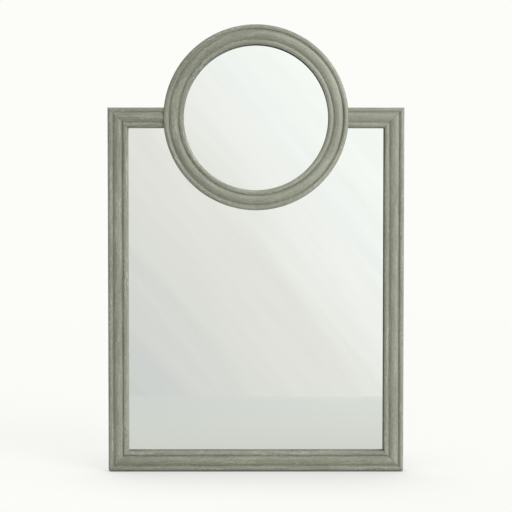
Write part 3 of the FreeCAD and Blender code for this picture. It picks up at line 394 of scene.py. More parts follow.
# the three patterns and the member's tone add up to one depth of colour; the tone is partly
# its board's own and partly painted light, lighter towards the key light on the right
depth = add(tree, "ShaderNodeMath", {
    "Value": member_parts["Z"], "Value_001": MEMBER_TONE_AND_LIGHT_DEPTH}, operation="MULTIPLY")
for pattern, strength in ((streak, STREAK_DEPTH), (speck, SPECK_DEPTH), (cloud, CLOUD_DEPTH)):
    depth = add(tree, "ShaderNodeMath", {
        "Value": pattern, "Value_001": strength, "Value_002": depth}, operation="MULTIPLY_ADD")
coat_and_painted_light = add(tree, "ShaderNodeValToRGB", {"Fac": depth}, stops=COAT_STOPS)
print("nodes of the coat:", len(tree.nodes))

# %% Marks of the rag
RUB = ((13, 2.4, 2.4), 2.0, (5, 1, 8))
RUB_PATCH = ((110, 12, 12), 1.0, (1, 4, 2))
PATCH_WEIGHT = 0.6
RUB_START = 0.88
RUB_FULL = 1.02
RUB_MOST = 0.62
RUB_TONE = "#b4b5a6"
# the face's width in millimetres, and how much the rag caught at each share of it
FACE_WIDE = 62
RUB_STOPS = [(0.24, grey(1.0)), (0.28, grey(0.65)), (0.70, grey(0.65)), (0.74, grey(1.0))]

# the rag caught in spots that lie together in patches, most of all on the two beads
wood_parts = add(tree, "ShaderNodeSeparateXYZ", {"Vector": place}).outputs
face_share = add(tree, "ShaderNodeMath", {
    "Value": wood_parts["Y"], "Value_001": FACE_WIDE}, operation="DIVIDE")
on_beads = add(tree, "ShaderNodeValToRGB", {"Fac": face_share}, stops=RUB_STOPS)
rub = stretched(tree, place, *RUB)
patch = stretched(tree, place, *RUB_PATCH)
rub_depth = add(tree, "ShaderNodeMath", {
    "Value": patch, "Value_001": PATCH_WEIGHT, "Value_002": rub}, operation="MULTIPLY_ADD")
rub_share = add(tree, "ShaderNodeMapRange", {
    "Value": rub_depth, "From Min": RUB_START, "From Max": RUB_FULL, "To Max": RUB_MOST})
rubs = add(tree, "ShaderNodeMath", {
    "Value": rub_share, "Value_001": on_beads}, operation="MULTIPLY")
print("with the marks of the rag:", len(tree.nodes))

# %% Glaze and painted shade in the grooves
GLAZE_RUN = ((120, 40, 40), 1.0, (3, 3, 3))
RUN_LOW = 0.3
RUN_HIGH = 0.7
GLAZE_LEAST = 0.3
GLAZE_MOST = 1.1
GLAZE_AND_SHADE_TONE = "#55584b"
GROOVE_LIGHT_TONE = "#b9bbac"
# where the outer and the inner groove lie, as shares of the way across the face
CLEAN, OUTER, INNER = (0, 0, 0, 1), (1, 0, 0, 1), (0, 1, 0, 1)
GROOVE_STOPS = [(0.205, CLEAN), (0.24, OUTER), (0.265, OUTER), (0.31, CLEAN),
                (0.66, CLEAN), (0.72, INNER), (0.745, INNER), (0.80, CLEAN)]

# the glaze settles in the two grooves, as a real glaze and as painted shade whose share
# follows the side the key light comes from; a share below zero paints a groove paler, as
# painted light against the shadow there
glaze = add(tree, "ShaderNodeAttribute", attribute_name="glaze").outputs["Vector"]
in_groove = add(tree, "ShaderNodeValToRGB", {"Fac": face_share}, stops=GROOVE_STOPS)
groove_share = add(tree, "ShaderNodeVectorMath", {
    "Vector": in_groove, "Vector_001": glaze}, operation="DOT_PRODUCT")
unevenness = add(tree, "ShaderNodeMapRange", {
    "Value": stretched(tree, place, *GLAZE_RUN), "From Min": RUN_LOW, "From Max": RUN_HIGH,
    "To Min": GLAZE_LEAST, "To Max": GLAZE_MOST})
groove_glaze_and_shade = add(tree, "ShaderNodeMath", {
    "Value": groove_share.outputs["Value"], "Value_001": unevenness}, operation="MULTIPLY")
groove_painted_light = add(tree, "ShaderNodeMath", {
    "Value": groove_glaze_and_shade, "Value_001": -1.0}, operation="MULTIPLY")
print("with the glaze:", len(tree.nodes))

# %% Painted shade at the glass
# where the painted shade on the wall starts and where it is full, in millimetres across the
# face and above the back
GLASS_SHADE_ACROSS = (59.5, 61)
GLASS_SHADE_DOWN = (30.5, 27.5)
GLASS_SHADE_TONE = "#23241f"

# the wall down to the glass is painted dark, a painted shade that is strongest where the
# wall faces away from the key light
past_bead = add(tree, "ShaderNodeMapRange", {
    "Value": wood_parts["Y"], "From Min": GLASS_SHADE_ACROSS[0], "From Max": GLASS_SHADE_ACROSS[1]})
down_lip = add(tree, "ShaderNodeMapRange", {
    "Value": wood_parts["Z"], "From Min": GLASS_SHADE_DOWN[0], "From Max": GLASS_SHADE_DOWN[1]})
on_wall = add(tree, "ShaderNodeMath", {
    "Value": past_bead, "Value_001": down_lip}, operation="MULTIPLY")
glass_shade_share = add(tree, "ShaderNodeSeparateXYZ", {"Vector": glaze}).outputs["Z"]
painted_glass_shade = add(tree, "ShaderNodeMath", {
    "Value": on_wall, "Value_001": glass_shade_share}, operation="MULTIPLY", use_clamp=True)
print("with the stain:", len(tree.nodes))

# %% Hairlines and the finished paint
# the distances in millimetres from a joint at which its hairline starts and is full
HAIRLINE_START = 1.1
HAIRLINE_FULL = 0.3
HAIRLINE_MOST = 0.45
HAIRLINE_TONE = "#5c5f52"
PAINT_SMOOTH = 0.46
PAINT_ROUGH = 0.66
PAINT_SHEEN = 0.5
RIDGE_STRENGTH = 0.25
RIDGE_DEEP = 0.3 * MM


def finish_material(tree, inputs):
    """Gives a material its shader and its output."""
    shader = add(tree, "ShaderNodeBsdfPrincipled", inputs)
    add(tree, "ShaderNodeOutputMaterial", {"Surface": shader})


# paint breaks in a hairline along each joint
near_end = add(tree, "ShaderNodeMath", {
    "Value": member_parts["X"], "Value_001": member_parts["Y"]}, operation="MINIMUM")
hairline = add(tree, "ShaderNodeMapRange", {
    "Value": near_end, "From Min": HAIRLINE_START, "From Max": HAIRLINE_FULL,
    "To Max": HAIRLINE_MOST})

# each layer covers what lies below it by its share
paint = coat_and_painted_light
for share, tone in ((rubs, RUB_TONE), (groove_glaze_and_shade, GLAZE_AND_SHADE_TONE), (groove_painted_light, GROOVE_LIGHT_TONE),
                    (painted_glass_shade, GLASS_SHADE_TONE), (hairline, HAIRLINE_TONE)):
    paint = add(tree, "ShaderNodeMix", {
        "Factor_Float": share, "A_Color": paint, "B_Color": tone}, data_type="RGBA")
matt = add(tree, "ShaderNodeMapRange", {
    "Value": speck, "To Min": PAINT_SMOOTH, "To Max": PAINT_ROUGH})
ridges = add(tree, "ShaderNodeBump", {
    "Height": speck, "Strength": RIDGE_STRENGTH, "Distance": RIDGE_DEEP})
# the sheen drops to nothing under the painted shade at the glass, which keeps that shade dark
sheen_off_under_painted_shade = add(tree, "ShaderNodeMapRange", {
    "Value": painted_glass_shade, "To Min": PAINT_SHEEN, "To Max": 0.0})
finish_material(tree, {
    "Base Color": paint, "Roughness": matt, "Normal": ridges, "Specular IOR Level": sheen_off_under_painted_shade})
print("paint nodes:", len(tree.nodes))

# %% [markdown]
# ## Raw beech
#
# Behind the paint the wood is bare. Beech is pale and even, with short darker flecks, the
# ends of its rays, that all lie along the grain. Two noises do it: a long one for the
# growth bands and a short thin one for the flecks. The pieces of the moulding carry their
# grain with them, and the small hidden pieces read it from their place.

# %% Beech
GROWTH = ((260, 7, 7), 3.0)
GROWTH_STOPS = [(0.3, "#c79f72"), (0.5, "#d4b084"), (0.7, "#dfc098")]
FLECK = ((2.4, 0.5, 0.5), 1.0)
FLECK_START = 0.62
FLECK_FULL = 0.72
FLECK_MOST = 0.5
FLECK_TONE = "#a97d52"
BEECH_SMOOTH = 0.55
BEECH_ROUGH = 0.7


def beech(tree, coordinates):
    """Planed beech, with the grain along the first coordinate."""
    bands = stretched(tree, coordinates, *GROWTH)
    flecks = stretched(tree, coordinates, *FLECK)
    wood = add(tree, "ShaderNodeValToRGB", {"Fac": bands}, stops=GROWTH_STOPS)
    fleck_share = add(tree, "ShaderNodeMapRange", {
        "Value": flecks, "From Min": FLECK_START, "From Max": FLECK_FULL,
        "To Max": FLECK_MOST})
    flecked = add(tree, "ShaderNodeMix", {
        "Factor_Float": fleck_share, "A_Color": wood, "B_Color": FLECK_TONE},
        data_type="RGBA")
    rough = add(tree, "ShaderNodeMapRange", {
        "Value": bands, "To Min": BEECH_SMOOTH, "To Max": BEECH_ROUGH})
    finish_material(tree, {"Base Color": flecked, "Roughness": rough})


def own_place(tree):
    """A point's place in its own piece, in millimetres."""
    metres = add(tree, "ShaderNodeTexCoord").outputs["Object"]
    return add(tree, "ShaderNodeMapping", {
        "Vector": metres, "Scale": (1 / MM, 1 / MM, 1 / MM)})


raw_beech, tree = new_material("planed_beech")
beech(tree, add(tree, "ShaderNodeAttribute", attribute_name="grain").outputs["Vector"])
small_beech, tree = new_material("beech_spline")
beech(tree, own_place(tree))
print("beech:", raw_beech.name, small_beech.name)

# %% [markdown]
# ## The moulding's section
#
# From the outer edge inwards the face has a bead, a groove, a broad torus, a second
# groove and an inner bead that turns down to the glass. The same face serves the straight
# members and the ring, where it stands a little prouder. The section is drawn as points:
# only the arcs need many, and an angle per step keeps them smooth.

# %% Sizes from the frame
stile_low, stile_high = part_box("left_stile")
HALF_WIDE = -stile_low.x
RAIL_WIDE = stile_high.x - stile_low.x
BACK = stile_high.y
FOOT = stile_low.z
HEAD = stile_high.z
RING_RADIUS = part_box("ring_segment_right")[1].x
GLASS_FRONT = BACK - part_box("rect_mirror_glass")[0].y
BOARD_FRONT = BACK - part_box("rect_backing_board")[0].y
RING_CENTRE = Vector((0, BACK, HEAD - RAIL_WIDE / 2))
print("rails are", round(RAIL_WIDE / MM, 1), "mm wide, and the ring's radius is",
      round(RING_RADIUS / MM, 1), "mm")

# %% Section of the moulding
BEAD_SPRING = 28 * MM
BEAD_RADIUS = 7.8 * MM
SHOULDER_RISE = 4 * MM
QUIRK_WIDE = 2 * MM
QUIRK_DEEP = 1.1 * MM
PAINT_FILL = 0.95 * MM
TORUS_WIDE = 27.5 * MM
TORUS_RISE = 6 * MM
ROOT_DROP = 1 * MM
SIGHT_SPRING = 24.5 * MM
LIP_WIDE = 8.5 * MM
LEDGE_WIDE = 13.5 * MM
RING_WIDE = 62 * MM
RING_PROUD = 6 * MM
RING_LEDGE_WIDE = 14 * MM
OUTER_LIP_WIDE = 12 * MM
OUTER_LEDGE_WIDE = 12 * MM
ARC_STEP = 7


def arc(centre, radius, start, end):
    """Points on an arc of the section, from a start angle down to an end angle."""
    count = math.ceil((start - end) / ARC_STEP)
    angles = [math.radians(start + (end - start) * step / count) for step in range(count + 1)]
    return [(centre[0] + radius * math.cos(turn), centre[1] + radius * math.sin(turn))
            for turn in angles]


def moulding_face(width, lift):
    """The face from the outer side's bead to the glass, as (distance from the outer edge,
    level above the back plane)."""
    shoulder = BEAD_SPRING + SHOULDER_RISE + lift
    groove = shoulder - QUIRK_DEEP + PAINT_FILL
    bead_close = math.degrees(math.asin(SHOULDER_RISE / BEAD_RADIUS))
    bead_end = BEAD_RADIUS * (1 + math.cos(math.radians(bead_close)))
    torus_start = bead_end + QUIRK_WIDE
    torus_end = torus_start + TORUS_WIDE
    torus_radius = ((TORUS_WIDE / 2) ** 2 + TORUS_RISE ** 2) / (2 * TORUS_RISE)
    torus_half = math.degrees(math.asin(TORUS_WIDE / 2 / torus_radius))
    torus_centre = ((torus_start + torus_end) / 2, shoulder + TORUS_RISE - torus_radius)
    root = torus_end + QUIRK_WIDE
    spring = SIGHT_SPRING + lift
    span = width - root
    fall = shoulder - ROOT_DROP - spring
    inner_radius = (span ** 2 + fall ** 2) / (2 * span)
    inner_open = 180 - math.degrees(math.asin(fall / inner_radius))
    outline = arc((BEAD_RADIUS, BEAD_SPRING + lift), BEAD_RADIUS, 180, bead_close)
    outline += [(bead_end, groove), (torus_start, groove)]
    outline += arc(torus_centre, torus_radius, 90 + torus_half, 90 - torus_half)
    outline += [(torus_end, groove), (root, groove)]
    outline += arc((width - inner_radius, spring), inner_radius, inner_open, 0)
    return outline


RAIL_WEB = RAIL_WIDE - LIP_WIDE - LEDGE_WIDE
RAIL_SECTION = [(0, 0)] + moulding_face(RAIL_WIDE, 0) + [
    (RAIL_WIDE, GLASS_FRONT),
    (RAIL_WIDE - LIP_WIDE, GLASS_FRONT),
    (RAIL_WIDE - LIP_WIDE, BOARD_FRONT),
    (RAIL_WEB, BOARD_FRONT),
    (RAIL_WEB, 0),
]
print("section of the rails:", len(RAIL_SECTION), "points")

# %% [markdown]
# ## Finished pieces
#
# Every new piece is finished in the same way: shaded smooth over shallow angles and sharp
# over steep ones, given its materials, tied to the body that carries it, and the plain piece
# of the frame that it stands in for is hidden.

# %% Finishing a piece
SMOOTH_BELOW = math.radians(14)
WELD = 0.002 * MM


def piece(name, bm, materials, stands_for, body="frame"):
    """Turns a bmesh into a finished object on its body."""
    for face in bm.faces:
        face.smooth = True
    for edge in bm.edges:
        edge.smooth = edge.calc_face_angle(0) < SMOOTH_BELOW
    mesh = mesh_of(name, bm)
    for material in materials:
        mesh.materials.append(material)
    thing = placed(name, mesh)
    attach(thing, body)
    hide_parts(*stands_for)
    print(name, "faces:", len(mesh.polygons))


print("smooth below", round(math.degrees(SMOOTH_BELOW)), "degrees")

# %% [markdown]
# ## Straight members
#
# A rail is planed through a moulder in one long stroke, and extruding the section is just
# that stroke. The long arrises are eased a little, as sanded and painted wood always is.
# Then each end is cut along its mitre with a plane, and the cut is closed. The cut has to
# come last, because only then do both members share exactly the same outline there.

# %% Extruding and cutting
EASE = 0.35 * MM
EASE_ABOVE = math.radians(30)
# the place of bare wood among a wooden piece's materials
RAW = 1


def verts_of(things):
    """The vertices among a list of mesh parts."""
    return [item for item in things if isinstance(item, bmesh.types.BMVert)]


def rim_of(things):
    """The open edges among a list of mesh parts."""
    return [item for item in things if isinstance(item, bmesh.types.BMEdge) and item.is_boundary]


def drawn(bm, section, spot):
    """Draws the section as one face, each point at a spot of its own."""
    return bm.faces.new([bm.verts.new(spot(*point)) for point in section])


def ease(bm, edges, amount=EASE, segments=2):
    """Rounds off edges with a small bevel."""
    bmesh.ops.bevel(bm, geom=edges, offset=amount, offset_type="OFFSET", affect="EDGES",
                    segments=segments, profile=0.5, material=-1, clamp_overlap=True)


def straight(section, spot, run):
    """A length of moulding with eased arrises."""
    bm = bmesh.new()
    grown = bmesh.ops.extrude_face_region(bm, geom=[drawn(bm, section, spot)])
    bmesh.ops.translate(bm, verts=verts_of(grown["geom"]), vec=run)
    bmesh.ops.recalc_face_normals(bm, faces=bm.faces)
    lengthwise = [edge for edge in bm.edges if edge.calc_length() > run.length / 2]
    ease(bm, [edge for edge in lengthwise if edge.calc_face_angle(0) > EASE_ABOVE])
    return bm


def cut(bm, spot, normal):
    """Cuts off what lies beyond a plane, and closes the cut with a raw face."""
    halves = bmesh.ops.bisect_plane(
        bm, geom=bm.verts[:] + bm.edges[:] + bm.faces[:], dist=WELD,
        plane_co=spot, plane_no=normal, clear_outer=True)
    bmesh.ops.edgeloop_fill(bm, edges=rim_of(halves["geom_cut"]), mat_nr=RAW)


print("arrises are eased by", round(EASE / MM, 2), "mm")

# %% Marking and finishing the wood
LOOKS_BACK = 0.5


def mark_wood(bm, grain_at, joints_at, coat_and_painted_light_at):
    """Gives each vertex its place in the wood and its distances from the two joints, in
    millimetres, and its coat: the tone, partly painted light, the shares of glaze in the outer
    and the inner groove, partly painted shade and below zero painted light, and the share of
    painted shade on the wall at the glass. The back and the rabbets stay unpainted."""
    grain = bm.verts.layers.float_vector.new("grain")
    member = bm.verts.layers.float_vector.new("member")
    glaze_and_shade_layer = bm.verts.layers.float_vector.new("glaze")
    for vert in bm.verts:
        first, second = joints_at(vert.co)
        tone, *shares = coat_and_painted_light_at(vert.co)
        vert[grain] = Vector(grain_at(vert.co)) / MM
        vert[member] = (first / MM, second / MM, tone)
        vert[glaze_and_shade_layer] = shares
    for face in bm.faces:
        _, across, level = grain_at(face.calc_center_median())
        hidden = level < GLASS_FRONT - WELD and across > EASE
        if face.normal.y > LOOKS_BACK or hidden:
            face.material_index = RAW


def wooden(name, bm, grain_at, joints_at, coat_and_painted_light_at):
    """Finishes a painted member, whose cut ends and hidden faces are bare."""
    mark_wood(bm, grain_at, joints_at, coat_and_painted_light_at)
    piece(f"{name}_moulding", bm, [painted_wood, raw_beech], [name])


def mitre(co, side, upper, of_stile):
    """Distance of a point from the mitre plane of a corner, inwards along the member."""
    from_side = HALF_WIDE - side * co.x
    from_end = HEAD - co.z if upper else co.z - FOOT
    beyond = from_end - from_side if of_stile else from_side - from_end
    return beyond / math.sqrt(2)


print("rabbets stay bare below", round(GLASS_FRONT / MM, 1), "mm above the back")

# %% Stiles and bottom rail
def corner(side, upper):
    """The outer corner of the frame on the back plane."""
    return Vector((side * HALF_WIDE, BACK, HEAD if upper else FOOT))


def between(low, high, share):
    """The coat, with its painted light and shade, at a share of the way from one end to the
    other.
    """
    return [start + (end - start) * share for start, end in zip(low, high)]


def make_stile(name, side, shift, low, high):
    """An upright, mitred at both ends, with the coats of its lower and its upper end, painted
    light and shade included. The shift is how many metres along its board it was cut, so no
    two members show one grain."""
    bm = straight(RAIL_SECTION,
                  lambda across, level: Vector((side * (HALF_WIDE - across), BACK - level, FOOT)),
                  Vector((0, 0, HEAD - FOOT)))
    cut(bm, corner(side, False), Vector((-side, 0, -1)))
    cut(bm, corner(side, True), Vector((-side, 0, 1)))
    wooden(name, bm,
           lambda co: (co.z + shift, HALF_WIDE - side * co.x, BACK - co.y),
           lambda co: (mitre(co, side, False, True), mitre(co, side, True, True)),
           lambda co: between(low, high, (co.z - FOOT) / (HEAD - FOOT)))


# each coat is the tone, the glaze in the outer and the inner groove and the shade at the glass;
# the tone is painted light, darker on the left and lighter on the right, and the shares of glaze
# and shade follow the key light's side as painted shade
make_stile("left_stile", side=-1, shift=0,
           low=(-0.9, -0.1, 0.6, 0), high=(-1.1, -0.35, 0.85, 0))
make_stile("right_stile", side=1, shift=2.7,
           low=(0.0, 0.35, 0.05, 0.75), high=(0.9, 0.75, 0.25, 0.9))

BOTTOM_SHIFT = 5.3
BOTTOM_LEFT = (-1.9, 0.1, 0.35, 0.35)
BOTTOM_RIGHT = (-0.6, -0.05, 0.1, 0.4)
bottom = straight(RAIL_SECTION,
                  lambda across, level: Vector((-HALF_WIDE, BACK - level, FOOT + across)),
                  Vector((2 * HALF_WIDE, 0, 0)))
cut(bottom, corner(-1, False), Vector((-1, 0, 1)))
cut(bottom, corner(1, False), Vector((1, 0, 1)))
wooden("bottom_rail", bottom,
       lambda co: (co.x + BOTTOM_SHIFT, co.z - FOOT, BACK - co.y),
       lambda co: (mitre(co, -1, False, False), mitre(co, 1, False, False)),
       lambda co: between(BOTTOM_LEFT, BOTTOM_RIGHT, (co.x + HALF_WIDE) / (2 * HALF_WIDE)))

# %% [markdown]
# The two short rails at the top end at the ring. Their ends are coped, cut hollow to fit
# its round side. The end is extruded a little too far, its long edges get more points,
# and every point is then drawn back onto the ring's side.

# %% Short rails with coped ends
COPE_OVER = 5 * MM
COPE_CUTS = 5


def ring_reach(co):
    """How far the ring's side stands from the middle at the height of a point."""
    return math.sqrt(RING_RADIUS ** 2 - (co.z - RING_CENTRE.z) ** 2)


def make_short_rail(name, side, shift, coat_and_painted_light):
    """A short rail from a top corner to the ring, with one coat, painted light and shade
    included, all along.
    """
    bm = straight(RAIL_SECTION,
                  lambda across, level: Vector((side * HALF_WIDE, BACK - level, HEAD - across)),
                  Vector((side * (RING_RADIUS - COPE_OVER - HALF_WIDE), 0, 0)))
    cut(bm, corner(side, True), Vector((side, 0, -1)))
    near_ring = RING_RADIUS - COPE_OVER / 2
    end = [edge for edge in bm.edges
           if max(abs(vert.co.x) for vert in edge.verts) < near_ring]
    tall = [edge for edge in end if abs(edge.verts[0].co.z - edge.verts[1].co.z) > COPE_OVER]
    bmesh.ops.subdivide_edges(bm, edges=tall, cuts=COPE_CUTS)
    for vert in bm.verts:
        if abs(vert.co.x) < near_ring:
            vert.co.x = side * ring_reach(vert.co)
    wooden(name, bm,
           lambda co: (side * co.x + shift, HEAD - co.z, BACK - co.y),
           lambda co: (mitre(co, side, True, False), side * co.x - ring_reach(co)),
           lambda co: coat_and_painted_light)


# the tone of each coat is painted light, darker on the left than on the right
make_short_rail("top_rail_left", side=-1, shift=8.1, coat_and_painted_light=(-1.5, -0.3, 0.05, 0.15))
make_short_rail("top_rail_right", side=1, shift=10.4, coat_and_painted_light=(0.45, -0.2, 0, 0.5))

# %% [markdown]
# ## The round frame
#
# The ring is glued up from six segments, bandsawn and then shaped with the same face as
# the rails. Spinning the section about the ring's centre gives each segment, and the
# grain then follows the angle. Below the short rails the ring is rebated outside for the
# large pane and its board, so the two side segments change section on the way: both
# stretches are spun, their touching ends are removed and welded, and the step between
# the two sections is closed.

# %% Sections of the ring
# each segment's middle in degrees, and its own tone beside the ring's
SEGMENTS = {"right": (0, 0.0), "upper_right": (60, -0.25), "upper_left": (120, 0.0),
            "left": (180, 0.0), "lower_left": (240, 0.35), "lower_right": (300, -0.6)}
HALF_SEGMENT = 30
RING_STEP = 2.5
REBATE_ANGLE = math.degrees(math.asin((RAIL_WEB - RAIL_WIDE / 2) / RING_RADIUS))
RING_MIDDLE = RING_RADIUS - RING_WIDE / 2
# the coat sways round the ring: a middle value, how far it sways, and the angle where it is
# strongest, for the tone, the glaze in both grooves and the painted shade at the glass. The
# tone's sway is painted light, lightest on the right towards the key light, and the sways of
# the glaze and of the shade at the glass follow the key light's side as painted shade
RING_COAT_AND_PAINTED_LIGHT = ((0.05, 2.1, 0), (0.1, 0.8, 0), (0.33, 0.4, -30), (0.2, 0.75, 55))
# the ring is sanded as one piece, so its joints show half as wide as a mitre
TIGHT = 2

ring_face = moulding_face(RING_WIDE, RING_PROUD)
inner_rabbet = [
    (RING_WIDE, GLASS_FRONT + RING_PROUD),
    (RING_WIDE - LIP_WIDE, GLASS_FRONT + RING_PROUD),
    (RING_WIDE - LIP_WIDE, BOARD_FRONT + RING_PROUD),
    (RING_WIDE - LIP_WIDE - RING_LEDGE_WIDE, BOARD_FRONT + RING_PROUD),
    (RING_WIDE - LIP_WIDE - RING_LEDGE_WIDE, 0),
]
outer_ledge = OUTER_LIP_WIDE + OUTER_LEDGE_WIDE
FULL_SECTION = [(0, 0), (0, GLASS_FRONT)] + ring_face + inner_rabbet + [(outer_ledge, 0)]
REBATED_SECTION = [(0, GLASS_FRONT)] + ring_face + inner_rabbet + [
    (outer_ledge, 0),
    (outer_ledge, BOARD_FRONT),
    (OUTER_LIP_WIDE, BOARD_FRONT),
    (OUTER_LIP_WIDE, GLASS_FRONT),
]
print("the ring changes section", round(REBATE_ANGLE, 2), "degrees below its middle")


# %% Ring segments
def spun(bm, section, start, end):
    """Adds a stretch of the ring between two angles in degrees, and gives its two ends."""
    turn = math.radians(start)

    def spot(across, level):
        radius = RING_RADIUS - across
        return RING_CENTRE + Vector((radius * math.cos(turn), -level, radius * math.sin(turn)))

    first = drawn(bm, section, spot)
    swept = bmesh.ops.spin(
        bm, geom=[first] + first.edges[:] + first.verts[:], cent=RING_CENTRE, axis=(0, -1, 0),
        angle=math.radians(end - start), steps=math.ceil((end - start) / RING_STEP),
        use_merge=False, use_duplicate=False)
    last = [item for item in swept["geom_last"] if isinstance(item, bmesh.types.BMFace)]
    return first, last[0]


def angle_from(co, middle):
    """The angle of a point round the ring, in radians from a segment's middle."""
    turn = math.atan2(co.z - RING_CENTRE.z, co.x) - math.radians(middle)
    return (turn + math.pi) % (2 * math.pi) - math.pi


def ring_distance(co):
    """Distance of a point from the ring's axis."""
    return math.hypot(co.x, co.z - RING_CENTRE.z)


def ring_coat_and_painted_light(co, own_tone):
    """The coat at a point of the ring, with its painted light and shade, and with the tone of its
    own segment.
    """
    turn = math.atan2(co.z - RING_CENTRE.z, co.x)
    coat_and_painted_light = [middle + sway * math.cos(turn - math.radians(strongest))
            for middle, sway, strongest in RING_COAT_AND_PAINTED_LIGHT]
    return [coat_and_painted_light[0] + own_tone] + coat_and_painted_light[1:]


def make_ring_segment(word, middle, own_tone):
    """One segment of the round frame."""
    start, end = middle - HALF_SEGMENT, middle + HALF_SEGMENT
    bm = bmesh.new()
    if word in ("upper_right", "upper_left"):
        spun(bm, FULL_SECTION, start, end)
    elif word in ("lower_right", "lower_left"):
        spun(bm, REBATED_SECTION, start, end)
    else:
        change = -REBATE_ANGLE if word == "right" else middle + REBATE_ANGLE
        sections = (REBATED_SECTION, FULL_SECTION)
        if word == "left":
            sections = (FULL_SECTION, REBATED_SECTION)
        caps = [spun(bm, sections[0], start, change)[1], spun(bm, sections[1], change, end)[0]]
        bmesh.ops.delete(bm, geom=caps, context="FACES_ONLY")
        bmesh.ops.remove_doubles(bm, verts=bm.verts, dist=WELD)
        bmesh.ops.edgeloop_fill(bm, edges=rim_of(bm.edges), mat_nr=RAW)
    bmesh.ops.recalc_face_normals(bm, faces=bm.faces)
    lengthwise = [edge for edge in bm.edges
                  if abs(ring_distance(edge.verts[0].co) - ring_distance(edge.verts[1].co)) < WELD
                  and abs(edge.verts[0].co.y - edge.verts[1].co.y) < WELD]
    ease(bm, [edge for edge in lengthwise if edge.calc_face_angle(0) > EASE_ABOVE])
    half = math.radians(HALF_SEGMENT)
    # levels leave out how far the ring stands proud, so its face has the same as a rail's
    wooden(f"ring_segment_{word}", bm,
           lambda co: ((math.radians(middle) + angle_from(co, middle)) * RING_MIDDLE,
                       RING_RADIUS - ring_distance(co), BACK - RING_PROUD - co.y),
           lambda co: ((half + angle_from(co, middle)) * RING_MIDDLE * TIGHT,
                       (half - angle_from(co, middle)) * RING_MIDDLE * TIGHT),
           lambda co: ring_coat_and_painted_light(co, own_tone))


for word, (middle, own_tone) in SEGMENTS.items():
    make_ring_segment(word, middle, own_tone)

# %% [markdown]
# ## Silvered glass
#
# The panes are 4 mm float glass, silvered on the back and sealed with a grey paint. The
# eye gets a nearly perfect reflection with a faint cool tint, so the front is a smooth
# metal with the colour of silver behind glass. Its back and edges turn to paint, chosen by
# the way a face looks, because the pane keeps its plain shape.

# %% Mirror glass
BACK_PAINT = "#6f7672"
BACK_ROUGH = 0.5
SILVER = "#f8f8f6"
LOOKS_FRONT = -0.5

mirror_glass, tree = new_material("silvered_float_glass")
facing = add(tree, "ShaderNodeSeparateXYZ", {
    "Vector": add(tree, "ShaderNodeTexCoord").outputs["Normal"]}).outputs
silvered = add(tree, "ShaderNodeMath", {
    "Value": facing["Y"], "Value_001": LOOKS_FRONT}, operation="LESS_THAN")
tone = add(tree, "ShaderNodeMix", {
    "Factor_Float": silvered, "A_Color": BACK_PAINT, "B_Color": SILVER}, data_type="RGBA")
gloss = add(tree, "ShaderNodeMapRange", {
    "Value": silvered, "To Min": BACK_ROUGH, "To Max": 0.0})
finish_material(tree, {"Base Color": tone, "Metallic": silvered, "Roughness": gloss})


def dress(nodes, material):
    """Gives pieces of the frame that keep their shape a finished material."""
    for name in nodes:
        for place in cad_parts[name].material_slots:
            place.material = material
    print(material.name, "on", len(nodes), "pieces")


dress(["rect_mirror_glass", "round_mirror_glass"], mirror_glass)

# %% [markdown]
# ## Boards, foam and blocks
#
# Hardboard is pressed from steamed fibres: brown, with a fine felted fleck. The foam tape
# is a pale closed-cell foam, and the setting blocks are black rubber. They are flat pieces
# that keep their plain shapes, so the materials read their place and carry the detail.

# %% Flat pieces behind the glass
GRAIN_DETAIL = 4.0
GRAIN_STRENGTH = 0.5
PATCH_TIMES = 40
PATCH_SHARE = 0.2
LOW_AT = 0.35
HIGH_AT = 0.65
ROUGH_SWAY = 0.08


def speckled(name, size, low, high, rough, bump):
    """A material of fine grains between two colours, with a grain size in millimetres."""
    made, tree = new_material(name)
    points = own_place(tree)
    grains = stretched(tree, points, size, GRAIN_DETAIL)
    patches = stretched(tree, points, [PATCH_TIMES * length for length in size])
    both = add(tree, "ShaderNodeMix", {
        "Factor_Float": PATCH_SHARE, "A_Float": grains, "B_Float": patches}, data_type="FLOAT")
    tone = add(tree, "ShaderNodeValToRGB", {"Fac": both}, stops=[(LOW_AT, low), (HIGH_AT, high)])
    raised = add(tree, "ShaderNodeBump", {
        "Height": grains, "Strength": GRAIN_STRENGTH, "Distance": bump})
    dull = add(tree, "ShaderNodeMapRange", {
        "Value": patches, "To Min": rough - ROUGH_SWAY, "To Max": rough + ROUGH_SWAY})
    finish_material(tree, {"Base Color": tone, "Roughness": dull, "Normal": raised})
    return made


hardboard = speckled("pressed_hardboard", (1.6, 1.6, 0.8), "#63452b", "#8d6a47",
                     rough=0.62, bump=0.2 * MM)
foam = speckled("closed_cell_foam", (0.5, 0.5, 0.5), "#cfd0cc", "#e6e6e2",
                rough=0.9, bump=0.1 * MM)
block_rubber = speckled("setting_block_rubber", (0.8, 0.8, 0.8), "#232322", "#333331",
                        rough=0.75, bump=0.05 * MM)
dress(["rect_backing_board", "round_backing_board"], hardboard)
dress(["rect_foam_tape", "round_foam_tape"], foam)
dress(["rect_setting_blocks", "round_setting_blocks"], block_rubber)
dress(["mitre_splines", "ring_splines", "ring_dowels"], small_beech)

# %% [markdown]
# ## Steel plates and straps
#
# Braces, joint plates and hanger straps are stamped from sheet steel and zinc plated, so
# they have soft edges and a bright, slightly clouded skin. Their plain shapes in the frame
# are right apart from the edges. A copy of each is welded, its triangles are dissolved
# into clean faces, and the sharp edges get a small bevel.

# %% Zinc plating
ZINC_CLOUD = ((9, 9, 9), 3.0)
ZINC_STOPS = [(LOW_AT, "#b1b5b7"), (HIGH_AT, "#cbcecf")]
ZINC_SCRATCH = ((30, 0.5, 0.5), 2.0)
ZINC_SMOOTH = 0.24
ZINC_ROUGH = 0.46

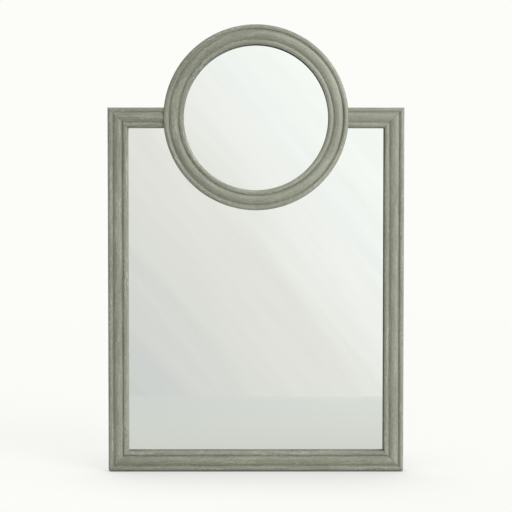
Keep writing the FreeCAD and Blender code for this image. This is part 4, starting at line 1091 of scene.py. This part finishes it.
zinc, tree = new_material("zinc_plated_steel")
points = own_place(tree)
clouded = add(tree, "ShaderNodeValToRGB", {
    "Fac": stretched(tree, points, *ZINC_CLOUD)}, stops=ZINC_STOPS)
scratched = add(tree, "ShaderNodeMapRange", {
    "Value": stretched(tree, points, *ZINC_SCRATCH),
    "To Min": ZINC_SMOOTH, "To Max": ZINC_ROUGH})
finish_material(tree, {"Base Color": clouded, "Metallic": 1, "Roughness": scratched})
print("plating:", zinc.name)

# %% Stamped pieces
PLATE_EASE = 0.3 * MM
STAMPED_SHARP = math.radians(35)
FLAT_BELOW = math.radians(0.5)


def stamped(node):
    """A copy of a stamped piece of the frame with eased edges."""
    bm = bmesh.new()
    bm.from_mesh(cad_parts[node].data)
    bmesh.ops.remove_doubles(bm, verts=bm.verts, dist=WELD)
    bmesh.ops.dissolve_limit(bm, angle_limit=FLAT_BELOW, verts=bm.verts, edges=bm.edges)
    ease(bm, [edge for edge in bm.edges if edge.calc_face_angle(0) > STAMPED_SHARP], PLATE_EASE)
    piece(f"{node}_stamped", bm, [zinc], [node])


for word in ("lower_left", "lower_right", "upper_right", "upper_left"):
    stamped(f"corner_brace_{word}")
for word in ("left", "right"):
    stamped(f"joint_plate_{word}")
    stamped(f"hanger_strap_{word}")

# %% [markdown]
# ## Hanger rings
#
# Each ring is a length of round wire, bent to a D and butted in the strap's knuckle.
# Half of it is drawn as the bender works: a straight run out of the knuckle, a tight bend,
# a straight arm, and a quarter turn to the foot. A mirror across the middle closes it.

# %% Bent wire rings
WIRE_RADIUS = 2 * MM
WIRE_BEND = 2.8 * MM
ARM_LONG = 8 * MM
WIRE_SIDES = 20
BEND_STEPS = 8


def grow(bm, rim, run, widen=1):
    """Extrudes a rim along a run, widens its new end about Z, and gives that end's rim."""
    made = bmesh.ops.extrude_edge_only(bm, edges=rim)["geom"]
    bmesh.ops.translate(bm, verts=verts_of(made), vec=run)
    bmesh.ops.scale(bm, verts=verts_of(made), vec=(widen, widen, 1))
    return rim_of(made)


def make_hanger_ring(word):
    """The ring of one hanger, on a body of its own."""
    low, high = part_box(f"hanger_ring_{word}")
    half = (high.x - low.x) / 2 - WIRE_RADIUS
    hinge = Vector(((low.x + high.x) / 2, (low.y + high.y) / 2, high.z - WIRE_RADIUS))
    bm = bmesh.new()
    bmesh.ops.create_circle(bm, segments=WIRE_SIDES, radius=WIRE_RADIUS,
                            matrix=Matrix.Rotation(math.radians(90), 4, "Y"))

    def bent(rim, centre):
        corners = list({vert for edge in rim for vert in edge.verts})
        made = bmesh.ops.spin(bm, geom=rim + corners, cent=centre, axis=(0, 1, 0),
                              angle=math.radians(90), steps=BEND_STEPS, use_merge=False)
        return rim_of(made["geom_last"])

    rim = grow(bm, bm.edges[:], (half - WIRE_BEND, 0, 0))
    rim = bent(rim, (half - WIRE_BEND, 0, -WIRE_BEND))
    rim = grow(bm, rim, (0, 0, WIRE_BEND - ARM_LONG))
    bent(rim, (0, 0, -ARM_LONG))
    bmesh.ops.mirror(bm, geom=bm.verts[:] + bm.edges[:] + bm.faces[:], axis="X", merge_dist=WELD)
    bmesh.ops.remove_doubles(bm, verts=bm.verts, dist=WELD)
    bmesh.ops.recalc_face_normals(bm, faces=bm.faces)
    bmesh.ops.translate(bm, verts=bm.verts, vec=hinge)
    piece(f"hanger_ring_{word}_wire", bm, [zinc],
          [f"hanger_ring_{word}"], f"ring_{word}")


for word in ("left", "right"):
    make_hanger_ring(word)

# %% [markdown]
# ## Screws
#
# Fifty-one pan head screws hold the back. One is turned and then copied to every place
# that the frame gives. The head's domed rim comes from a circle that is extruded down in
# steps, and the cross recess is a plus-shaped outline inside it, pushed down and drawn in.
# No two screws stop at the same angle, so each one is turned by a seeded random amount.

# %% One pan head screw
HEAD_RIM = [(2.4 * MM, 2.0 * MM), (2.95 * MM, 1.75 * MM), (3.3 * MM, 1.2 * MM),
            (3.4 * MM, 0.55 * MM), (3.4 * MM, 0), (1.6 * MM, 0)]
HEAD_TALL = HEAD_RIM[0][1]
CROSS_ARM = 1.75 * MM
CROSS_HALF = 0.42 * MM
CROSS_DEEP = 1.3 * MM
CROSS_TAPER = 0.45
SHANK_RADIUS = 1.6 * MM
TIP_RADIUS = SHANK_RADIUS / 10
TIP_LONG = 3 * MM
HEAD_SIDES = 24


def screw_mesh(length):
    """A screw along Z with its seat at the origin and its head upwards."""
    bm = bmesh.new()
    bmesh.ops.create_circle(bm, segments=HEAD_SIDES, radius=HEAD_RIM[0][0])
    rim = bm.edges[:]
    arms = []
    for quarter in range(4):
        turn = Matrix.Rotation(math.radians(90 * quarter), 3, "Z")
        for x, y in ((CROSS_ARM, -CROSS_HALF), (CROSS_ARM, CROSS_HALF), (CROSS_HALF, CROSS_HALF)):
            arms.append(bm.verts.new(turn @ Vector((x, y, 0))))
    cross = [bm.edges.new(pair) for pair in zip(arms, arms[1:] + arms[:1])]
    bmesh.ops.triangle_fill(bm, edges=rim + cross, use_beauty=True, normal=(0, 0, 1))
    bmesh.ops.translate(bm, verts=bm.verts, vec=(0, 0, HEAD_TALL))
    bmesh.ops.edgeloop_fill(bm, edges=grow(bm, cross, (0, 0, -CROSS_DEEP), CROSS_TAPER))
    profile = HEAD_RIM + [(SHANK_RADIUS, TIP_LONG - length), (TIP_RADIUS, -length)]
    for (radius, height), (next_radius, next_height) in zip(profile, profile[1:]):
        rim = grow(bm, rim, (0, 0, next_height - height), next_radius / radius)
    bmesh.ops.edgeloop_fill(bm, edges=rim)
    bmesh.ops.recalc_face_normals(bm, faces=bm.faces)
    return mesh_of("screw", bm)


print("screw heads are", round(HEAD_TALL / MM, 2), "mm tall")

# %% Screws at their places
SCREW_LENGTHS = {"rect_board_screws": 14 * MM, "round_board_screws": 14 * MM,
                 "corner_brace_screws": 14 * MM, "joint_plate_screws": 14 * MM,
                 "hanger_screws": 18 * MM}
SCREW_SEED = 11
chance = random.Random(SCREW_SEED)


def solids(node):
    """The separate solids of a piece of the frame, each as its lowest and highest corner."""
    bm = bmesh.new()
    bm.from_mesh(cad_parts[node].data)
    bmesh.ops.remove_doubles(bm, verts=bm.verts, dist=WELD)
    left = set(bm.verts)
    boxes = []
    while left:
        reached = [left.pop()]
        for vert in reached:
            fresh = {edge.other_vert(vert) for edge in vert.link_edges} & left
            left -= fresh
            reached.extend(fresh)
        spots = [vert.co for vert in reached]
        boxes.append((Vector([min(spot[axis] for spot in spots) for axis in range(3)]),
                      Vector([max(spot[axis] for spot in spots) for axis in range(3)])))
    bm.free()
    return sorted(boxes, key=lambda box: tuple(round(x, 4) for x in box[0]))


def make_screws(node, length):
    """All screws of one group, in one piece."""
    mesh = screw_mesh(length)
    bm = bmesh.new()
    for low, high in solids(node):
        before = set(bm.verts)
        bm.from_mesh(mesh)
        fresh = [vert for vert in bm.verts if vert not in before]
        seat = Vector(((low.x + high.x) / 2, high.y - HEAD_TALL, (low.z + high.z) / 2))
        backwards = Matrix.Rotation(math.radians(-90), 3, "X")
        spin = Matrix.Rotation(chance.uniform(0, math.pi / 2), 3, "Z")
        bmesh.ops.rotate(bm, verts=fresh, cent=(0, 0, 0), matrix=backwards @ spin)
        bmesh.ops.translate(bm, verts=fresh, vec=seat)
    piece(f"{node}_turned", bm, [zinc], [node])


for node, length in SCREW_LENGTHS.items():
    make_screws(node, length)

# %% [markdown]
# ## Pads
#
# Rubber bumpers keep the back off the wall, and felt glides stand on the floor. Both are
# turned shapes, so each is a short profile spun through a full turn. Felt shows matted
# fibres, and moulded rubber is nearly black with a dull skin.

# %% Bumpers and glides
PAD_SIDES = 48
# the axis along which a pad stands on its seat: bumpers face back, and glides face down
BACKWARDS, DOWNWARDS = 1, 2
BUMPER_SHARES = [(0, 0.93), (0.3, 0.96), (0.55, 1.0), (0.72, 0.98), (0.84, 0.9), (0.9, 0.75),
                 (0.97, 0.1), (1.0, 0.0), (0, 0)]
GLIDE_SHARES = [(0, 1.0), (0.94, 1.0), (0.985, 0.9), (1.0, 0.7), (1.0, 0.15), (0.98, 0.0),
                (0, 0)]
bumper_rubber = speckled("moulded_rubber", (0.6, 0.6, 0.6), "#262625", "#343433",
                         rough=0.6, bump=0.03 * MM)
felt = speckled("pressed_felt", (0.5, 0.5, 0.5), "#5d564d", "#857c70",
                rough=0.95, bump=0.4 * MM)


def make_pads(node, name, profile, axis, material):
    """Turned pads, one in each solid of a node. The profile runs from the middle of the
    free face to the seat, as shares of the radius and of the height."""
    bm = bmesh.new()
    for low, high in solids(node):
        before = set(bm.verts)
        size = high - low
        radius = size.x / 2
        tall = size[axis]
        points = [bm.verts.new((radius * wide, 0, tall * rise)) for wide, rise in profile]
        lines = [bm.edges.new(pair) for pair in zip(points, points[1:])]
        bmesh.ops.spin(bm, geom=points + lines, cent=(0, 0, 0), axis=(0, 0, 1),
                       angle=math.radians(360), steps=PAD_SIDES, use_merge=True)
        fresh = [vert for vert in bm.verts if vert not in before]
        if axis == BACKWARDS:
            turn = Matrix.Rotation(math.radians(-90), 3, "X")
            seat = Vector((low.x + radius, low.y, (low.z + high.z) / 2))
        else:
            turn = Matrix.Rotation(math.radians(180), 3, "X")
            seat = Vector((low.x + radius, (low.y + high.y) / 2, high.z))
        bmesh.ops.rotate(bm, verts=fresh, cent=(0, 0, 0), matrix=turn)
        bmesh.ops.translate(bm, verts=fresh, vec=seat)
    bmesh.ops.remove_doubles(bm, verts=bm.verts, dist=WELD)
    bmesh.ops.recalc_face_normals(bm, faces=bm.faces)
    piece(name, bm, [material], [node])


make_pads("wall_bumpers", "wall_bumpers_moulded", BUMPER_SHARES, BACKWARDS,
          bumper_rubber)
make_pads("floor_glides", "floor_glides_felt", GLIDE_SHARES, DOWNWARDS, felt)
